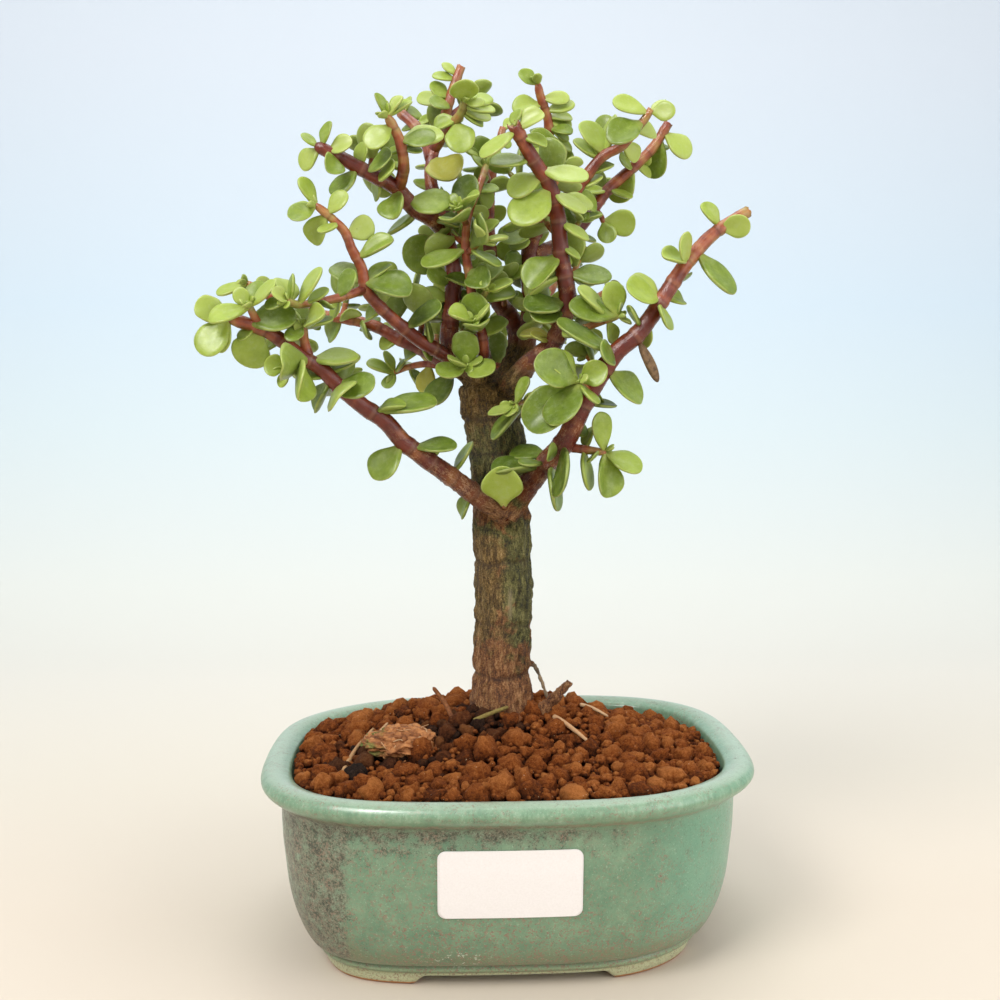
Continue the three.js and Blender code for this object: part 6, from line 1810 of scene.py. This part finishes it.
def trunk_skin():
    """Points, normals and faces of the trunk, its small roots and the first stretch of each limb, as one."""
    shell = Surface()
    shell.add(*trunk_tube())
    for name, length in STUBS.items():
        curve, rows = CURVES[name], max(6, round(length / 0.7))
        shell.add(*plain_tube(curve, LIMBS[name].radii, rows, 24, length / curve.length, 0.28))
    for path, radii in ROOTS.values():
        curve = Curve(path)
        shell.add(*plain_tube(curve, radii, max(8, round(curve.length / ROW_STEP)), 18))
    piece = new_object("trunk_shell", new_mesh("trunk_shell", np.vstack(shell.points), shell.faces))
    remesh = piece.modifiers.new("skin", "REMESH")
    remesh.mode = "VOXEL"
    remesh.voxel_size = 0.6 * MM
    apply_modifiers(piece)
    skin = read_mesh(piece.data)
    bpy.data.objects.remove(piece)
    return skin


def trunk_growth(points):
    """Where each point of the trunk's piece lies across and along its limb, and how young its skin is."""
    axis = TRUNK_CURVE.at(np.linspace(0, 1, 60))
    centre = np.stack([np.interp(points[:, 2], axis[:, 2], axis[:, k]) for k in (0, 1)], axis=1)
    fibre = np.column_stack([points[:, :2] - centre, points[:, 2] * FIBRE_STRETCH])
    best = np.linalg.norm(points[:, :2] - centre, axis=1) - TRUNK_RADIUS
    youth = np.zeros(len(points))
    for k, (name, length) in enumerate(STUBS.items()):
        curve = CURVES[name]
        near = np.linalg.norm(points - curve.at(0.5 * length / curve.length), axis=1) < length
        spots = np.flatnonzero(near)
        share = np.linspace(0, length / curve.length, 60)
        line = curve.at(share)
        away = np.linalg.norm(points[spots][:, None] - line[None], axis=2)
        index = away.argmin(axis=1)
        own = away[np.arange(len(spots)), index] - LIMBS[name].radii[0] * 1.1
        mine = own < best[spots]
        spots, index = spots[mine], index[mine]
        along, offset = share[index] * curve.length, points[spots] - line[index]
        _, side, other = frames_along(line)
        fibre[spots] = np.column_stack([
            (offset * side[index]).sum(axis=1) + FIBRE_SHIFT * (k + 1), (offset * other[index]).sum(axis=1),
            along * FIBRE_STRETCH])
        youth[spots] = youth_at(name, along / curve.length) * smooth(0.35 * length, 0.95 * length, along)
        best[spots] = own[mine]
    return fibre, youth


def near_root(points, name):
    """1 on one of the small roots at the trunk's foot, and 0 away from it."""
    path, radii = ROOTS[name]
    line = Curve(path).at(np.linspace(0.15, 1, 16))
    away = np.linalg.norm(points[:, None] - line[None], axis=2).min(axis=1)
    return smooth(1.7, 1.2, away / radii[0])


def make_trunk(look, leaves):
    points, normals, faces = trunk_skin()
    fibre, youth = trunk_growth(points)
    old = smooth(0.3, 0.05, youth)
    fine = field(fibre, 1.3, 11, 3)
    flakes = np.maximum(field(fibre * [1, 1, 1.6], 2.6, 13, 2), 0) ** 0.6
    cracks = bump_at(field(fibre, 3.2, 14, 2), 0, 0.07)
    rough = 0.5 * fine + 0.5 * flakes - 0.45 * cracks + 0.2 * field(points, 7, 12) - 0.15
    points = points + (old * rough + 0.05 * fine)[:, None] * normals
    knot = bump_at(np.linalg.norm(points - KNOT, axis=1), 0, 2.2)
    x, y, z = points.T
    bearing = np.arctan2(y - TRUNK_AXIS[1], x - TRUNK_AXIS[0])
    points = points + 1.1 * knot[:, None] * normals
    cut_root, arching_root = near_root(points, "cut_root"), near_root(points, "arching_root")
    right = smooth(-0.1, 0.9, np.cos(bearing + 0.25)) * smooth(75, 95, z)
    mossy = 0.74 * right + 0.5 * smooth(125, 135, z) + 0.22 * bump_at(z, 112, 12)
    rusty = 0.62 * smooth(112, 80, z) + 0.6 * bump_at(z, 140, 4) + 0.2 * bump_at(x, -2, 3)
    streak = 0.7 * bump_at(x, 0.6, 0.7) * smooth(103, 106, z) * smooth(116, 112, z) * (y < 6)
    bark = Wood()
    bark.add(
        points, faces, fibre=fibre, youth=youth, sun=normals @ LIGHTWARD,
        moss=mossy * smooth(178, 162, z) * old,
        rust=rusty * old + 1.2 * cut_root,
        streak=streak + arching_root * (1 - cut_root),
        scar=0.85 * bump_at(np.linalg.norm((points - SCAR) / [1.6, 2, 2.6], axis=1), 0, 0.8),
        ring=np.clip(1.3 * groove_depth(z, bearing, 0.5) + 0.5 * cracks, 0, 1) * old + 0.8 * knot,
    )
    bark.build("trunk_bark", look, "bark", "trunk")
    stalk = Wood()
    add_stem(stalk, "crotch_stalk", leaves, 60)
    stalk.build("crotch_stalk_wood", look, "bark", "trunk")


# ---------------------------------------------------------------- branches
STEM_SEED = 20
LEAF_SEED = 500
STUB_OVERLAP = 1.2  # a branch starts this far inside its stub on the trunk


def make_branches(leaf_skin, stem_skin, leaves):
    """For each node, one piece of leaves, and apart from the trunk's, one of stems."""
    seeds = {name: k for k, name in enumerate(LIMBS)}
    for node in sorted({limb.node for limb in LIMBS.values()}):
        wood, blades = Wood(), Surface(*LEAF_VALUES)
        on_trunk = node == "trunk"
        for name in (name for name, limb in LIMBS.items() if limb.node == node):
            draw = seeded(LEAF_SEED + seeds[name])
            own = [leaf for leaf in leaves if leaf.limb == name]
            if not on_trunk:
                start = max(0, STUBS.get(name, 0) - STUB_OVERLAP)
                add_stem(wood, name, leaves, STEM_SEED + seeds[name], start)
                if limb_end(name) == "bud":
                    own += bud_leaves(name, draw)
            for leaf in own:
                add_leaf(blades, leaf, draw)
        blades.build(node.replace("branch", "leaves") + ("_leaf" if on_trunk else "_blades"),
                     leaf_skin, "leaf", node)
        if not on_trunk:
            wood.build(node.replace("branch", "stems") + "_wood", stem_skin, "leaf", node)


# ---------------------------------------------------------------- stage, light and camera
def make_stage(look):
    """A seamless sweep: a floor that bends up into a wall behind the pot."""
    turns = np.radians(np.linspace(0, 90, 25))
    bend = SWEEP_BACK - SWEEP_BEND
    line = [(-SWEEP_HALF, 0.0)]
    line += [(bend + SWEEP_BEND * math.sin(t), SWEEP_BEND * (1 - math.cos(t))) for t in turns]
    line.append((SWEEP_BACK, SWEEP_HALF))
    points = np.array([[x, y, z] for y, z in line for x in (-SWEEP_HALF, SWEEP_HALF)])
    first = 2 * np.arange(len(line) - 1)
    mesh = new_mesh("sweep", points, [np.stack([first, first + 1, first + 3, first + 2], axis=1)])
    mesh.materials.append(look)
    new_object("sweep", mesh)


def make_lights():
    target = Vector(LIGHTS_TARGET) * MM
    for name, place, size, power, colour in LIGHTS:
        lamp = bpy.data.lights.new(name, "AREA")
        lamp.size = size * MM
        lamp.energy = power
        lamp.color = colour
        light = new_object(name, lamp)
        light.location = Vector(place) * MM
        light.rotation_euler = (target - light.location).to_track_quat("-Z", "Y").to_euler()
        light.visible_diffuse = name != "spark"
    world = bpy.data.worlds.new("soft_studio")
    world.use_nodes = True
    sky = world.node_tree.nodes["Background"].inputs
    sky["Color"].default_value = SKY_COLOUR
    sky["Strength"].default_value = SKY_STRENGTH
    bpy.context.scene.world = world


def make_camera():
    turn, tilt = CAMERA_TURN, CAMERA_TILT
    back = Vector((math.sin(turn), -math.cos(turn), 0))
    right = Vector((math.cos(turn), math.sin(turn), 0))
    place = back * CAMERA_DISTANCE + Vector((0, 0, CAMERA_HEIGHT)) - right * CAMERA_SIDE
    ahead = -back * math.cos(tilt) - Vector((0, 0, math.sin(tilt)))
    camera = new_object("camera", bpy.data.cameras.new("camera"))
    camera.data.lens = CAMERA_LENS
    camera.data.sensor_width = 36
    camera.data.clip_start = 0.01
    camera.location = place * MM + Vector(POT_PLACE)
    camera.rotation_euler = ahead.to_track_quat("-Z", "Y").to_euler()
    bpy.context.scene.camera = camera


# ---------------------------------------------------------------- the whole
make_camera()
make_lights()
make_stage(stage_look())
bpy.context.scene.view_settings.view_transform = "Standard"

leaves = grow_leaves()
make_pot(glaze_look())
make_label(label_look())
make_soil(clay_look())
make_litter(litter_look())
wood = wood_look()
make_trunk(wood, leaves)
make_branches(leaf_look(), wood, leaves)
screen = screen_look()
for name in ("drain_screen_left", "drain_screen_right"):
    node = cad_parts[name]
    node.data.materials.clear()
    node.data.materials.append(screen)
